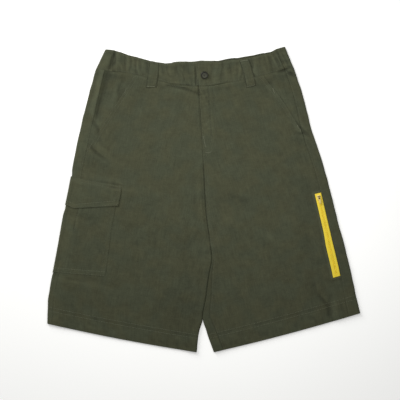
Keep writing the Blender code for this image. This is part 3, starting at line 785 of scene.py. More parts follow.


# how round edges are, how much painted shade lies along sewn edges, the waist seam and free edges,
# and the least size of a cut
edging = {
    "sewnRound": 0.25,
    "sewnShade": -0.28,
    "waistSeamShade": -0.05,
    "freeEdgeShade": -0.1,
    "leastCut": 10.1,  # a cut's size is given as no less than this
}


def wallBetween(name, outer, inner):
    # a closed wall between two grids of points
    count = outer.shape[0] * outer.shape[1]
    index = np.arange(count).reshape(outer.shape[:2])
    quads = np.stack([index[:-1, :-1], index[1:, :-1], index[1:, 1:], index[:-1, 1:]], -1)
    quads = quads.reshape(-1, 4)
    around = np.concatenate([index[:-1, 0], index[-1, :-1], index[:0:-1, -1], index[0, :0:-1]])
    onward = np.roll(around, -1)
    rim = np.stack([around, around + count, onward + count, onward], -1)
    faces = np.concatenate([quads, quads[:, ::-1] + count, rim])
    corners = np.concatenate([outer.reshape(-1, 3), inner.reshape(-1, 3)])
    corners = (corners + np.array(form["centreShift"])) * mm
    corners[:, 2] = np.maximum(corners[:, 2], 0)  # flat where it rests
    mesh = bpy.data.meshes.new(name)
    mesh.from_pydata(corners.tolist(), [], faces.tolist())
    return mesh


def cutFrom(smooth):
    # the flat cut is the unfolded cloth, before its creases: across, down and in all
    crossing = np.cross(smooth[1:, 1:] - smooth[:-1, :-1], smooth[1:, :-1] - smooth[:-1, 1:])
    across = np.linalg.norm(np.diff(smooth, axis=1), axis=-1).sum(1).max()
    down = np.linalg.norm(np.diff(smooth, axis=0), axis=-1).sum(0).max()
    return across, down, np.linalg.norm(crossing, axis=-1).sum() / 2


def placed(name, mesh, finish, slot):
    mesh.shade_smooth()
    mesh.materials.append(finish)
    made = bpy.data.objects.new(name, mesh)
    bpy.context.scene.collection.objects.link(made)
    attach(made, body)
    return made


def cloth(
    name, face, downs, arcs, finish, nodes, wall=form["cloth"], slot="olive_twill", seams="",
    pressed="", faint=None,
):
    # a closed wall of cloth on a grid of rows and arcs, with rounded edges. seams names
    # the edges that are sewn to a neighbour and so lie in a valley, with painted shade along
    # them, and pressed the ones that lie flat on what is under them. faint is how much an
    # edge's painted shade counts.
    downs = np.broadcast_to(np.asarray(downs, float).reshape(len(downs), -1), arcs.shape)
    smooth = face.base(downs, arcs)
    relief = face.relief(downs, arcs, smooth[..., 0], smooth[..., 1])
    points = smooth + face.normals(downs, arcs) * relief[..., None]
    if face.sign < 0:
        points, downs, arcs, relief = (a[:, ::-1] for a in (points, downs, arcs, relief))
    normals = gridNormals(points)
    edges = dict(zip(("top", "bottom", "first", "last"), fromEdges(points)))
    drop = 0
    for edge, away in edges.items():
        # a free edge is round, and a sewn one only just
        rounding = edging["sewnRound"] if edge in seams + pressed else wall / 2
        level = np.maximum(rounding**2 - np.maximum(rounding - away, 0) ** 2, 0)
        drop = np.maximum(drop, rounding - np.sqrt(level))
    outer = points - normals * drop[..., None]
    inner = points - normals * (wall - drop * 0.98)[..., None]
    upward = np.clip(normals[..., 2] * 3, 0, 1)
    # paler on raised ridges, as worn cloth is, and darker in the hollows: painted shade
    wearAndShade = np.clip((relief - softened(relief, 14)) / 0.35, -1, 1)
    # the patches of painted shade and painted light, on the faces that look up
    wearAndShade = wearAndShade + shadedAndFaded(points[..., 0], points[..., 1]) * upward
    # painted shade along the edges: most along sewn ones, less along free ones, least along the
    # waist seam, none along pressed ones
    for edge, away in edges.items():
        level = "waistSeamShade" if edge in ("top", "bottom") else "sewnShade"
        level = 0 if edge in pressed else edging[level if edge in seams else "freeEdgeShade"]
        wearAndShade = wearAndShade + np.exp(-away / 1.6) * level * (faint or {}).get(edge, 1)
    mesh = wallBetween(name, outer, inner)
    weave = np.stack([arcs, downs], -1).reshape(-1, 2) * mm
    weave = np.concatenate([weave, weave + 0.31])
    corner = np.zeros(len(mesh.loops), int)
    mesh.loops.foreach_get("vertex_index", corner)
    mesh.uv_layers.new(name="cloth").data.foreach_set("uv", weave[corner].ravel())
    values = {"wearAndShade": wearAndShade, "fromTop": edges["top"], "fromBottom": edges["bottom"]}
    values.update(fromFirst=edges["first"], fromLast=edges["last"])
    for key, value in values.items():
        # the inner faces are painted darker: painted shade inside the garment
        inside = value - 0.8 if key == "wearAndShade" else value
        flat = np.concatenate([value.ravel(), inside.ravel()]).astype(np.float32)
        mesh.attributes.new(key, "FLOAT", "POINT").data.foreach_set("value", flat)
    made = face.piece = placed(name, mesh, finish, slot)
    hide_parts(*nodes)
    across, down, area = cutFrom(smooth)
    flat = metres((max(across, edging["leastCut"]), max(down, edging["leastCut"])))
    count = len(mesh.polygons)
    print(f"{name}: {count} faces, cut {across:.0f} by {down:.0f} mm, {area / 100:.0f} cm2")


roundSteps = np.array([0.12, 0.35, 0.7, 1.3])  # in from an edge that is rounded


def spread(start, end, step, fine=True):
    # places from start to end about a step apart, closer at both ends for the round edges
    count = max(int(round((end - start) / step)), 2)
    places = np.linspace(start, end, count + 1)
    if not fine:
        return places
    first, last = start + roundSteps, end - roundSteps[::-1]
    return np.concatenate([[start], first, places[1:-1], last, [end]])


def arcsBetween(stops, steps):
    # columns of arcs, closer at both ends: each stop is one arc for every row, and each
    # step the spacing between two stops
    columns = [stops[0][:, None]]
    for number, step in enumerate(steps):
        start, end = stops[number], stops[number + 1]
        count = max(int(round(np.abs(end - start).max() / step)), 1)
        shares = np.arange(1, count + 1) / count
        columns.append(start[:, None] + (end - start)[:, None] * shares)
    arcs = np.concatenate(columns, 1)
    close, reach = roundSteps[:3], roundSteps[3]
    start, end = arcs[:, :1], arcs[:, -1:]
    first = start + (arcs[:, 1:2] - start) * close / reach
    last = end - (end - arcs[:, -2:-1]) * close[::-1] / reach
    return np.concatenate([start, first, arcs[:, 1:-1], last, end], 1)


# the zip beside the left side seam
thighZip = {
    "top": 264,
    "bottom": 448,
    "width": (12.8, 14.8),  # above and below
    "widens": (335, 385),
    "tape": 1.0,
    "aside": (-0.7, 1),  # from the side seam, above and below
    "leaves": (270, 395),
    "calm": 276,  # down, the middle of the smooth cloth round the slider
    "toothPitch": 1.5,
    "tooth": (2.9, 0.75, 0.7),  # across, along and thick
    "toothOffset": 1.15,
    "groove": 0.25,
}


def zipEdges(down):
    # how far the tape's two edges are from the side seam
    near = blend(*thighZip["aside"], ease(down, *thighZip["leaves"]))
    return near, near + blend(*thighZip["width"], ease(down, *thighZip["widens"]))


def calmed(down, aside):
    # 1, but 0 round the zip's slider and pull, where the cloth lies smooth
    return 1 - fade(abs(down - thighZip["calm"]), 14, 34) * fade(abs(aside), 8, 26)


backLeg = {
    "step": 2.6,
    "crest": 2.1,
    "valley": 1.7,
    "foldStrip": (-15, -3),  # how far inside the seam
    "foldDrop": (-2.5, 5.5),
    "foldValley": (6, 34),
    "seamDip": 0.1,
    "join": 0.35,
}


def sideFold(down, aside):
    # the fold that runs down beside the right side seam from the waist: a strip that
    # rises to a crest outside the seam, and a steep drop just inside it
    drop = ease(aside, *backLeg["foldDrop"])
    strip = ease(aside, *backLeg["foldStrip"]) * (1 - drop)
    valley = drop * fade(aside, *backLeg["foldValley"])
    return (backLeg["crest"] * strip - backLeg["valley"] * valley) * fade(down, 88, 116)


# the legs' front panels
frontLeg = {
    "step": 2.4,
    "seamDip": 0.12,
    "seamReach": 1.9,
    "waistMeet": 0.6,
    "drawn": ((-72, -58), (-22, -10)),  # across, where the waist seam pulls it down
    "inseamDip": 0.5,
    "shallow": 0.6,  # the part of it missing right under the fly
    "overFlap": 0.45,
    "belowPocket": 64,
    "placket": 0.32,
    "hemPucker": 0.2,
    "edgeRoll": 0.12,
    "openFaint": 0.7,
    "flyRow": 0.5,
    "welt": 0.7,
}


def frontPlace(leg):
    def base(down, arc):
        return leg.ring(down, arc, leg.frontRise(down, arc))

    def relief(down, arc, x, y):
        fromSide = arc - leg.edgeArc(down)
        fromInner = leg.girth(down) - leg.inseamArc(down) - arc
        fromHem = form["hem"] - down
        opening = fade(down, leg.openEnd - 8, leg.openEnd)
        flapEnd = pocket["middle"] + pocket["flapHalfWidth"]
        lift = frontRelief(x, y)
        if leg.side == "right":
            foot = pocket["bottom"] + 2
            eased = fade(down, foot, foot + frontLeg["belowPocket"]) - fade(down, foot, foot + 16)
            lift += layer * eased * fade(arc, 92, 160)
            lift += sideFold(down, arc - leg.seamArc(down))
            over = ease(arc, flapEnd - 56, flapEnd - 24) * fade(arc, flapEnd - 2, flapEnd + 3)
            lift -= frontLeg["overFlap"] * bell(down - pocket["flapTop"] + 1.5, 1.6) * over
        lift -= frontLeg["seamDip"] * bell(fromSide, frontLeg["seamReach"]) * (1 - opening)
        lift += frontLeg["edgeRoll"] * bell(fromSide - 3, 4) * opening
        drawn = ease(x, *frontLeg["drawn"][0]) * fade(x, *frontLeg["drawn"][1])
        lift += frontLeg["waistMeet"] * fade(down, 2, 12) * (1 - drawn)
        lift += 0.3 * puckers(x, 17, 21) * fade(down, 4, 34)
        roped = softNoise(x + 0.5 * fromHem, fromHem, 10, 22)
        roped = roped + softNoise(x, fromHem * 0.6, 5, 24) * 0.5
        lift += frontLeg["hemPucker"] * roped * fade(fromHem, 22, 42)
        lift -= 0.12 * bell(fromHem - 30.5, 5)
        if leg.side == "left":
            placket = ease(fromInner, 1, 5) * fade(fromInner, 17, 23) * fade(down, 100, 126)
            rope = puckers(down + 0.25 * fromInner, 7.5, 23) * (0.5 + 0.5 * fade(down, 24, 60))
            rope = rope + 0.7 * softNoise(fromInner * 1.6, down, 6, 25)
            lift += frontLeg["placket"] * (rope - 0.45) * placket
            for away, share in ((20, 1), (30, 0.3)):
                row = bell(fromInner - away, 1.5) * fade(down, 98, 110)
                lift -= frontLeg["flyRow"] * share * row
        inseam = leg.closed(down) if leg.side == "left" else np.zeros_like(down)
        over = fade(fromInner, 3, 24) * ease(down, *form["innerLift"])
        lift += (0.55 if leg.side == "right" else -0.4) * over
        belowFly = ease(down, form["flyEnd"] - 4, form["flyEnd"] + 8) * (1 - leg.closed(down))
        belowFly = belowFly * (1 - frontLeg["shallow"] * fade(down, 150, 172))
        seated = np.maximum(inseam, belowFly)
        lift -= frontLeg["inseamDip"] * bell(fromInner, 1.9) * seated
        if leg.side == "left":
            near, far = zipEdges(down)
            fromTape = abs(fromSide - (near + far) / 2) - (far - near) / 2
            pastEnds = np.maximum(thighZip["top"] - down, down - thighZip["bottom"])
            beyond = np.maximum(pastEnds, fromTape)
            welt = ease(beyond, -0.4, 0.9) * fade(beyond, 2.8, 5.5)
            lift = lift * calmed(down, fromSide - 7) + frontLeg["welt"] * welt
        return lift

    return Face(base, relief, -leg.sign)


frontPlaces, backPlaces = {}, {}
hemLines = [("fromBottom", up, 1.4, 0.06) for up in form["hemRows"]]
for side, leg in legs.items():
    frontPlaces[side] = frontPlace(leg)
    downs = spread(halfSeam, form["hem"], frontLeg["step"])
    girth = leg.girth(downs)
    end = girth - leg.inseamArc(downs) - halfSeam
    if side == "right":
        end = end + form["flyUnderlap"] * fade(downs, form["flyEnd"] - 16, form["flyEnd"] - 2)
    edge = leg.edgeArc(downs) + halfSeam
    bend = np.minimum(girth - leg.farRadius(downs) * pi / 2, end) - 3
    arcs = arcsBetween([edge, bend, end], [frontLeg["step"], 0.9])
    finish = twillFinish(f"front {side} twill", hemLines)
    sideEdge, innerEdge = ("last", "first") if leg.sign > 0 else ("first", "last")
    opening = fade(downs, leg.openEnd - 8, leg.openEnd)[:, None]
    underFly = ease(downs, 60, 90)[:, None] * fade(downs, 150, 172)[:, None]
    cloth(
        f"front_{side}_cloth", frontPlaces[side], downs, arcs, finish,
        nodes=[f"front_{side}_leg"], seams="top first last",
        faint={
            sideEdge: 1 - frontLeg["openFaint"] * opening,
            innerEdge: 1 - frontLeg["shallow"] * underFly,
        },
    )

# the back panels, which come round the side fold to the side seam
backTable = {
    "columns": "place x1 y1 x2 y2 width height lean bow",
    "rows": [
        ("right seat drag", -30, 40, -150, -20, 9, -0.8, 0.3, 6),
        ("left seat drag", 30, 30, 150, -24, 8, -0.75, -0.3, -7),
        ("right thigh", -90, -70, -130, -170, 7, -0.6, 0.3, 8),
        ("left thigh", 110, -60, 150, -180, 8, -0.7, 0.3, -8),
        ("right hip", -170, 150, -90, 110, 7, -0.6, 0.2, 5),
        ("left hip", 70, 130, 150, 160, 7, -0.6, 0.2, 5),
        ("right hem", -190, -200, -180, -270, 6, -0.6, 0.3, 3),
        ("left hem", 190, -190, 205, -250, 6, -0.7, -0.3, 3),
        ("right crotch", 2, -70, -50, -130, 6, -0.7, 0.2, -4),
        ("left crotch", 14, -80, 70, -130, 6, -0.7, 0.2, 4),
    ],
}


def backPlace(leg):
    def base(down, arc):
        return leg.ring(down, arc)

    def relief(down, arc, x, y):
        girth = leg.girth(down)
        toSeam = leg.seamArc(down) - arc
        onFront = ease(arc, 1, 9)
        lift = onFront * (frontRelief(x, y) + frontLeg["waistMeet"] * fade(down, 2, 12))
        lift -= backLeg["seamDip"] * bell(toSeam, 1.9)
        if leg.side == "right":
            lift += sideFold(down, -toSeam)
        join = np.exp(-(((down - 316) / 16) ** 2) - ((arc + girth) / 3) ** 2)
        lift += backLeg["join"] * join
        under = ease(-arc, 6, 26) * ease(girth + arc, 6, 30)
        uneven = 0.12 * (1 + softNoise(x, y, 24, 15))
        lift += np.minimum(creased(backTable, x, y) - uneven, 0) * under
        lift += 0.35 * softNoise(down, 0 * down, 15, 16) * bell(arc, 5)
        past = -girth - arc
        closed = leg.closed(down)
        lift += closed * ease(past, 0, 4) * frontRelief(x, y)
        if leg.side == "left":
            start = -girth - leg.inseamArc(down)
            lift -= closed * frontLeg["inseamDip"] * bell(arc - start, 1.9)
            lift -= 0.5 * ease(past, 0, 4) * fade(past, 12, 24) * ease(down, *form["innerLift"])
        return lift

    return Face(base, relief, -leg.sign)


for side, leg in legs.items():
    backPlaces[side] = backPlace(leg)
    downs = spread(halfSeam, form["hem"], backLeg["step"])
    girth = leg.girth(downs)
    near, far = leg.nearRadius(downs) * pi / 2, leg.farRadius(downs) * pi / 2
    start = -girth - leg.inseamArc(downs) + halfSeam
    end = leg.seamArc(downs) - halfSeam
    stops = [start, -girth + far * 1.3, -near * 1.4, near * 1.4, end]
    arcs = arcsBetween(stops, [1.4, backLeg["step"], 0.8, 1.6])
    finish = twillFinish(f"back {side} twill", hemLines)
    cloth(
        f"back_{side}_cloth", backPlaces[side], downs, arcs, finish,
        nodes=[f"back_{side}_leg"], seams="top first last",
    )
print("legs made")

# the facings behind the slanted hand pockets
facing = {"step": 2.6, "hollow": 0.25, "meet": 0.85}  # it rises to meet the front's edge


def facingPlace(leg):
    def relief(down, arc, x, y):
        fromSeam = arc - leg.seamArc(down)
        lift = frontRelief(x, y) - facing["hollow"] + frontLeg["waistMeet"] * fade(down, 2, 12)
        lift -= 0.1 * bell(fromSeam, 1.9)
        lift += facing["meet"] * ease(arc - leg.edgeArc(down), -26, -2)
        return lift + sideFold(down, fromSeam) if leg.side == "right" else lift

    return Face(leg.ring, relief, -leg.sign)


for side, leg in legs.items():
    downs = spread(halfSeam, leg.openEnd + 4, facing["step"])
    start = leg.seamArc(downs) + halfSeam
    end = leg.edgeArc(downs) + form["pocketUnderlap"]
    arcs = arcsBetween([start, end], [facing["step"]])
    cloth(
        f"facing_{side}_cloth", facingPlace(leg), downs, arcs, twillFinish(f"facing {side} twill"),
        nodes=[f"hand_pocket_facing_{side}"], seams="top first",
    )

# the waistband: a back part that comes round both folds, and two front halves
waistband = {
    "step": 1.8,
    "overlap": (178, 214),
    "overlapLean": (7, -1.5),  # its edge's way aside, above and below
    "sideSeam": 19.2,
    "backRow": -370,  # where the back's rows of stitching end, less its side seam
    "gatherHeight": 1.0,
    "gatherPitch": 13,
    "scallop": 0.7,
    "edgeRoll": 0.35,
    "seamDip": 0.3,
}
puckerTable = {
    "columns": "across width height",
    "rows": [
        (20, 3.2, -0.9), (26, 4, 0.6), (86, 2.6, -0.5), (103, 3.5, -0.7), (109, 4, 0.3),
        (124, 2.4, -0.35), (140, 2.8, -0.3), (149, 2.2, -0.4), (166, 2.6, -0.3),
        (213, 3.4, -0.4), (222, 3, 0.25), (233, 2.6, -0.45), (241, 2.4, 0.25),
        (250, 2.8, -0.5), (262, 2.4, -0.3), (268, 3, 0.3), (272.5, 2.4, -0.6),
        (292, 2.6, -0.6), (298, 3, 0.4), (344, 2.6, -0.4), (351, 2.4, -0.5),
    ],
}


def gathers(across):
    right = ease(across, 22, 32) * fade(across, 66, 80)
    left = ease(across, 300, 312) * fade(across, 335, 345)
    phase = across / waistband["gatherPitch"] + 0.3 * np.sin(across / 9)
    narrow = 0.3 * (0.5 + 0.5 * np.sin(2 * pi * phase * 2.3 + 1))
    ripple = 0.7 * (0.5 + 0.5 * np.sin(2 * pi * phase)) + narrow
    return waistband["gatherHeight"] * (right + left) * ripple


def pleated(across):
    total = np.zeros_like(across)
    for place, width, height in puckerTable["rows"]:
        total += height * bell(across - place, width)
    return total


bandBend = single(band.nearRadius, 0) * (pi / 2 - 1)
bandGirth = single(band.girth, 0)


def acrossBand(arc):
    arc = abs(np.where(arc < -bandGirth, -2 * bandGirth - arc, arc))
    return np.clip(arc - bandBend, 0, band.length)


def bandPlace(part):
    def base(down, arc):
        across = acrossBand(arc)
        lapped = fade(across, waistband["overlap"][1] + 6, waistband["overlap"][1] + 34)
        rise = (form["bandCloth"] + form["gap"]) * lapped * (part == "left")
        return band.ring(down / band.depth(across), arc, rise)

    def relief(down, arc, x, y):
        across = acrossBand(arc)
        depth = band.depth(across)
        middle = np.sin(pi * np.clip(down / depth, 0, 1))
        slanted = across + 4 * softNoise(across, down, 16, 31) * (0.4 + down / depth)
        lift = gathers(slanted) * (0.5 + 0.5 * middle)
        lift += 0.35 * softNoise(across * 2.2, down, 17, 32)
        lift += 0.2 * softNoise(across, down, 6, 33)
        toSeam, toTop = depth - down, down - band.peek(across)
        lift += waistband["edgeRoll"] * bell(toTop - 2.5, 2)
        onFront = np.maximum(ease(arc, 0, 4), ease(-arc - bandGirth, 0, 4))
        if part == "back":
            lift = lift * blend(0.6, 1, onFront) - 0.2 * (1 - onFront)
        lift += onFront * pleated(slanted) * (0.35 + 0.65 * middle)
        for table in (creaseTable, bandCreases):
            lift += onFront * creased(table, x, y)
        pulled = 0.25 + 3 * ease(across, 120, 134) * fade(across, 160, 178)
        return lift - waistband["seamDip"] * pulled * bell(toSeam, 1.9)

    return Face(base, relief, 1)


bandCreases = {
    "columns": "place x1 y1 x2 y2 width height lean bow",
    "rows": [
        ("right end", -173, 297, -184, 262, 3.6, -2.4, 0.3, 3),
        ("right end roll", -164, 292, -174, 262, 5, 0.7, -0.2, 3),
        ("right end foot", -182, 268, -192, 258, 5, -1.6, 0.3, 0),
        ("beside the loop", 89, 281, 97, 266, 2.2, -0.6, 0.2, 0),
        ("overlap edge", -15.4, 266, -15.2, 226, 1.7, -2.2, 0.3, 0),
        ("overlap foot", -11.6, 241, -11, 226, 1.3, -0.9, 0.2, 0),
    ],
}
bandPlaces = {part: bandPlace(part) for part in ("right", "left", "back")}


def bandRows(across, part, count=15):
    # rows down the band for each column, from its uneven upper edge to its seam
    close = np.array([0, 0.15, 0.45, 0.9])
    uneven = 0.5 + 0.5 * softNoise(across, 0 * across, 8, 34 + len(part))
    top = (0 if part == "back" else band.peek(across)) + waistband["scallop"] * uneven
    bottom = band.depth(across) - halfSeam
    inside = np.linspace(0, 1, count)[1:-1, None] * (bottom - top) + top
    return np.concatenate([top + close[:, None], inside, bottom - close[::-1, None]])


def overlapAside(down):
    middle = sum(waistband["overlap"]) / 2
    return blend(*waistband["overlapLean"], down / single(band.depth, middle))


for part in ("right", "left", "back"):
    start, end = waistband["overlap"]
    if part == "right":
        span = (waistband["sideSeam"] + halfSeam + bandBend, end + bandBend)
    elif part == "left":
        seam = band.length - waistband["sideSeam"] - halfSeam
        span = (start + bandBend, seam + bandBend)
    else:
        seam = waistband["sideSeam"] + bandBend - halfSeam
        span = (-bandGirth - seam, seam)
    arcs = spread(*span, 1.0 if part == "back" else waistband["step"])
    downs = bandRows(acrossBand(arcs), part)
    arcs = np.broadcast_to(arcs, downs.shape)
    if part == "left":
        arcs = arcs + overlapAside(downs) * fade(arcs - span[0], 0, 30)
    onBack = part == "back"
    rows = [("fromBottom", 2, 1, 0.12), ("fromTop", 3, 1, 0.12)]
    if part == "left":
        # a groove along the overlap's edge, painted darker: painted shadow beside the edge
        rows.append(("fromFirst", 0.5, 2.2, 0.4))
    cloth(
        f"{part}_band_cloth", bandPlaces[part], downs, arcs,
        twillFinish(f"{part} band twill", rows), wall=form["bandCloth"],
        nodes=["back_waistband" if onBack else f"front_waistband_{part}"],
        seams="bottom first last" if onBack else "bottom",
    )
print("waistband made")

# belt loops, tacked over the waistband
beltLoop = {
    "width": 19,
    "cloth": 0.7,
    "clear": 0.15,  # from the cloth below it
    "bow": 0.45,
    "tack": 0.25,
    "crown": 0.25,
    "step": 0.3,
    "lowest": 3,  # anything beneath it that is lower is a gap
}
# each loop's place and face, how far aside its head and its foot lean and its
# middle bows, where it starts below the band's edge, how far it runs past the
# waist seam, how far its foot turns, and how wide its head and its foot are
loopTable = {
    "columns": "place across face leanHead leanFoot bow start tail turn head foot",
    "rows": [
        ("front_right", 94, 1, 4.8, -1.6, 0, 2.2, 17.6, -0.28, 1.04, 0.97),
        ("front_left", 282, 1, -8.6, 4.2, 1.8, 7, 17, 0, 1.1, 0.78),
        ("back_right", 84, -1, 0, 0, 0, 1.7, 12, 0, 1, 1),
        ("back_centre", 181, -1, 0, 0, 0, 1.7, 12, 0, 1, 1),
        ("back_left", 280, -1, 0, 0, 0, 1.7, 12, 0, 1, 1),
    ],
}
loopPlaces = {}


def tops(pieces, x, y):
    # how high the finished pieces stand at each place
    shift = form["centreShift"]
    heights = np.zeros(x.shape)
    for place in np.ndindex(x.shape):
        start = Vector(((x[place] + shift[0]) * mm, (y[place] + shift[1]) * mm, 0.05))
        for piece in pieces:
            hit, at, *_ = piece.ray_cast(start, Vector((0, 0, -1)))
            if hit:
                heights[place] = max(heights[place], at.z / mm - shift[2])
    return heights


def loopPlace(side, across, face, leanHead, leanFoot, aside, start, tail, turn, head, foot):
    depth = single(band.depth, across)

    def planned(down, arc):
        share = down / (depth + tail)
        drop = (down + turn * arc * share * share) / depth
        lean = blend(leanHead, leanFoot, share) + aside * np.sin(pi * share)
        inset = across + (arc * blend(head, foot, share) + lean) * face
        return drop, share, *band.plan(drop, inset)

    rows, columns = np.linspace(0, depth + tail, 30), np.linspace(-10, 10, 9)
    if face > 0:
        pieces = bandPlaces[side].piece, frontPlaces[side].piece
        drop, share, *places = planned(*together(rows[:, None], columns))
        beneath = tops(pieces, *places)
        for row in range(len(rows) - 2, -1, -1):
            low = beneath[row] < beltLoop["lowest"]
            beneath[row] = np.where(low, beneath[row + 1], beneath[row])
        beneath = softened(beneath, 3)

    def resting(down, arc):
        row = np.clip(down / (depth + tail), 0, 1) * (len(rows) - 1)
        column = np.clip((arc + 10) / 20, 0, 1) * (len(columns) - 1)
        i = np.minimum(row.astype(int), len(rows) - 2)
        j = np.minimum(column.astype(int), len(columns) - 2)
        upper = blend(beneath[i, j], beneath[i, j + 1], column - j)
        lower = blend(beneath[i + 1, j], beneath[i + 1, j + 1], column - j)
        return blend(upper, lower, row - i)

    def base(down, arc):
        down, arc = together(down, arc)
        drop, share, x, y = planned(down, arc)
        if face > 0:
            bow = beltLoop["bow"] * np.sin(pi * np.clip(share, 0, 1))
            z = resting(down, arc) + beltLoop["cloth"] + beltLoop["clear"] + bow
        else:
            z = band.height(drop, np.full_like(drop, across), face) - layer
        return np.stack([x, y, z], -1)

    def relief(down, arc, x, y):
        ends = bell(down - start - 2, 2.4)
        ends += bell(down - depth - tail + 2, 2.4)
        lift = -beltLoop["tack"] * ends + 0.12 * softNoise(x, y, 7, 41)
        lift += beltLoop["crown"] * (1 - (arc / 9.5) ** 2) * (1 - np.minimum(ends, 1))
        lift -= 0.15 * bell(abs(arc) - 7, 0.8)
        lift -= beltLoop["step"] * bell(down - depth, 1.8)
        return lift if face > 0 else np.minimum(lift, 0) * 0.4

    return (start, depth + tail), Face(base, relief, 1)


for place, *row in loopTable["rows"]:
    side = "right" if "right" in place else "left"
    span, surface = loopPlaces[place] = loopPlace(side, *row)
    downs = spread(*span, 1.6)
    arcs = spread(-beltLoop["width"] / 2, beltLoop["width"] / 2, 1.2)
    cloth(
        f"loop_{place}_cloth", surface, downs, np.broadcast_to(arcs, (len(downs), len(arcs))),
        twillFinish(f"loop {place} twill"), wall=beltLoop["cloth"], nodes=[f"belt_loop_{place}"],
    )

# the cargo pocket and its flap, which wrap over the right side fold
rightLeg, leftLeg = legs["right"], legs["left"]
cargo = {
    "cloth": 0.55,
    "under": 0.75,  # lower than its solid's outer face
    "pleat": 9,
    "pleatDepth": 0.45,
    "bulge": 0.35,
    "edgePress": 0.35,
    "footPress": 0.5,
    "footDrop": (8, -4),  # at the side fold and at the front edge
    "footFront": 102,  # the arc of its front corner
    "footWrap": (-84, -20),  # arcs under the side, over which it drops
    "rows": (2.4, 9.8),  # from the edge to each row of its stitching
    "step": 2.0,
}


def wrapEnds(halfWidth, down):
    fold = rightLeg.nearRadius(down) * pi / 2
    return pocket["middle"] - halfWidth - fold, pocket["middle"] + halfWidth + 0 * fold


def pocketShare(down):
    return (down - pocket["top"]) / (pocket["bottom"] - pocket["top"])


def pocketFoot(arc):
    # the bottom edge hangs a little lower towards the side
    drop = blend(*cargo["footDrop"], np.clip(arc / cargo["footFront"], 0, 1))
    return pocket["bottom"] + drop * ease(arc, *cargo["footWrap"])


def pocketRelief(down, arc, x, y):
    halfWidth = blend(*pocket["halfWidth"], pocketShare(down))
    fromFront = pocket["middle"] + halfWidth - arc
    onFront = ease(arc, 1, 9)
    lift = frontRelief(x, y)
    lift += cargo["bulge"] * ease(fromFront, 6, 26) * fade(arc, 60, 20) * fade(down, 380, 412)
    lift -= cargo["edgePress"] * bell(fromFront, 2.2)
    lift -= cargo["footPress"] * bell(pocketFoot(arc) - down, 4)
    below = fade(down, 322, 350)
    for turn in (-1, 1):
        offPleat = (arc - pocket["middle"]) * turn - cargo["pleat"]
        depth = cargo["pleatDepth"] * (1 if turn > 0 else 0.4)
        lift -= depth * bell(offPleat, 1.5) * below
        lift += 0.5 * depth * bell(offPleat - 4.5, 3) * below
    lift += 0.25 * (puckers(arc, 11, 51) - 0.5) * ease(down, 396, 412)
    return np.where(arc > 0, onFront * lift, 0)


def flapFoot(arc):
    # the flap's lower edge, which comes to a blunt point at its middle
    offMiddle = abs(arc - pocket["middle"]) / pocket["flapHalfWidth"]
    return blend(pocket["flapPoint"], pocket["flapCorner"], np.minimum(offMiddle, 1))


def flapRelief(down, arc, x, y):
    lower = flapFoot(arc)
    lift = frontRelief(x, y)
    lift += 0.45 * bell(lower - down - 4, 4) + 0.2 * ease(down, 232, 250)
    lift -= 0.4 * bell(down - pocket["flapTop"], 2)
    lift += 0.3 * bell(pocket["middle"] + pocket["flapHalfWidth"] - arc - 3, 2.5)
    return np.where(arc > 0, ease(arc, 1, 9) * lift, 0)


def pocketBase(down, arc):
    return rightLeg.ring(down, arc, layer - cargo["under"] * ease(arc, 0, 9))


def flapBase(down, arc):
    return rightLeg.ring(down, arc, rightLeg.lift(down) - 2 * cargo["under"] * ease(arc, 0, 9))


pocketPlace = Face(pocketBase, pocketRelief, 1)
flapPlace = Face(flapBase, flapRelief, 1)

downs = spread(pocket["top"], pocket["bottom"], cargo["step"])
share = pocketShare(downs)
start, end = wrapEnds(blend(*pocket["halfWidth"], share), downs)
near = rightLeg.nearRadius(downs) * pi / 2
stops = [start, -near * 1.3, near * 1.3, end]
arcs = arcsBetween(stops, [cargo["step"], 0.7, cargo["step"]])
downs = blend(pocket["top"], pocketFoot(arcs), share[:, None])
cloth(
    "cargo_pocket_cloth", pocketPlace, downs, arcs,
    twillFinish("pocket twill", [("fromLast", 3, 0.9, 0.1), ("fromLast", 9, 0.9, 0.1)]),
    wall=cargo["cloth"], nodes=["cargo_pocket"],
    pressed="first last bottom",
)

near = single(rightLeg.nearRadius, pocket["flapTop"]) * pi / 2
flapTop = np.array([float(pocket["flapTop"])])
start, end = (float(v[0]) for v in wrapEnds(pocket["flapHalfWidth"], flapTop))
arcs = np.concatenate([
    spread(start, -near * 1.4, cargo["step"])[:-4],
    spread(-near * 1.4, near * 1.4, 0.7, fine=False),
    spread(near * 1.4, end, cargo["step"])[5:],
])
upper, lower = flapTop + 0 * arcs, flapFoot(arcs)
close = roundSteps[:, None]
inside = blend(upper, lower, spread(0, 1, 0.04, fine=False)[1:-1, None])
downs = np.concatenate([upper[None], upper + close, inside, lower - close[::-1], lower[None]])
cloth(
    "cargo_flap_cloth", flapPlace, downs, np.broadcast_to(arcs, downs.shape),
    twillFinish("flap twill", [("fromBottom", 3, 0.9, 0.2), ("fromLast", 3, 0.9, 0.2)]),
    wall=cargo["cloth"], nodes=["cargo_flap"],
)
print("cargo pocket made")

# the zip beside the left side seam: a tape with its coil
def tapeRelief(down, arc, x, y):
    near, far = zipEdges(down)
    aside = arc - leftLeg.seamArc(down) - (near + far) / 2
    lift = frontRelief(x, y) * calmed(down, aside)
    lift -= thighZip["groove"] * np.exp(-((aside / 2.6) ** 4))
    return lift - 0.3 * bell(abs(aside) - (far - near) / 2, 1)


def tapeBase(down, arc):
    return leftLeg.ring(down, arc, form["gap"] + thighZip["tape"])


tapePlace = Face(tapeBase, tapeRelief, -1)
downs = spread(thighZip["top"], thighZip["bottom"], 2)
start, end = (leftLeg.seamArc(downs) + edge for edge in zipEdges(downs))
arcs = arcsBetween([start, end], [0.9])
cloth(
    "zip_tape_cloth", tapePlace, downs, arcs, tapeFinish, wall=thighZip["tape"],
    nodes=["thigh_zip_tape"], slot="yellow_tape",
)
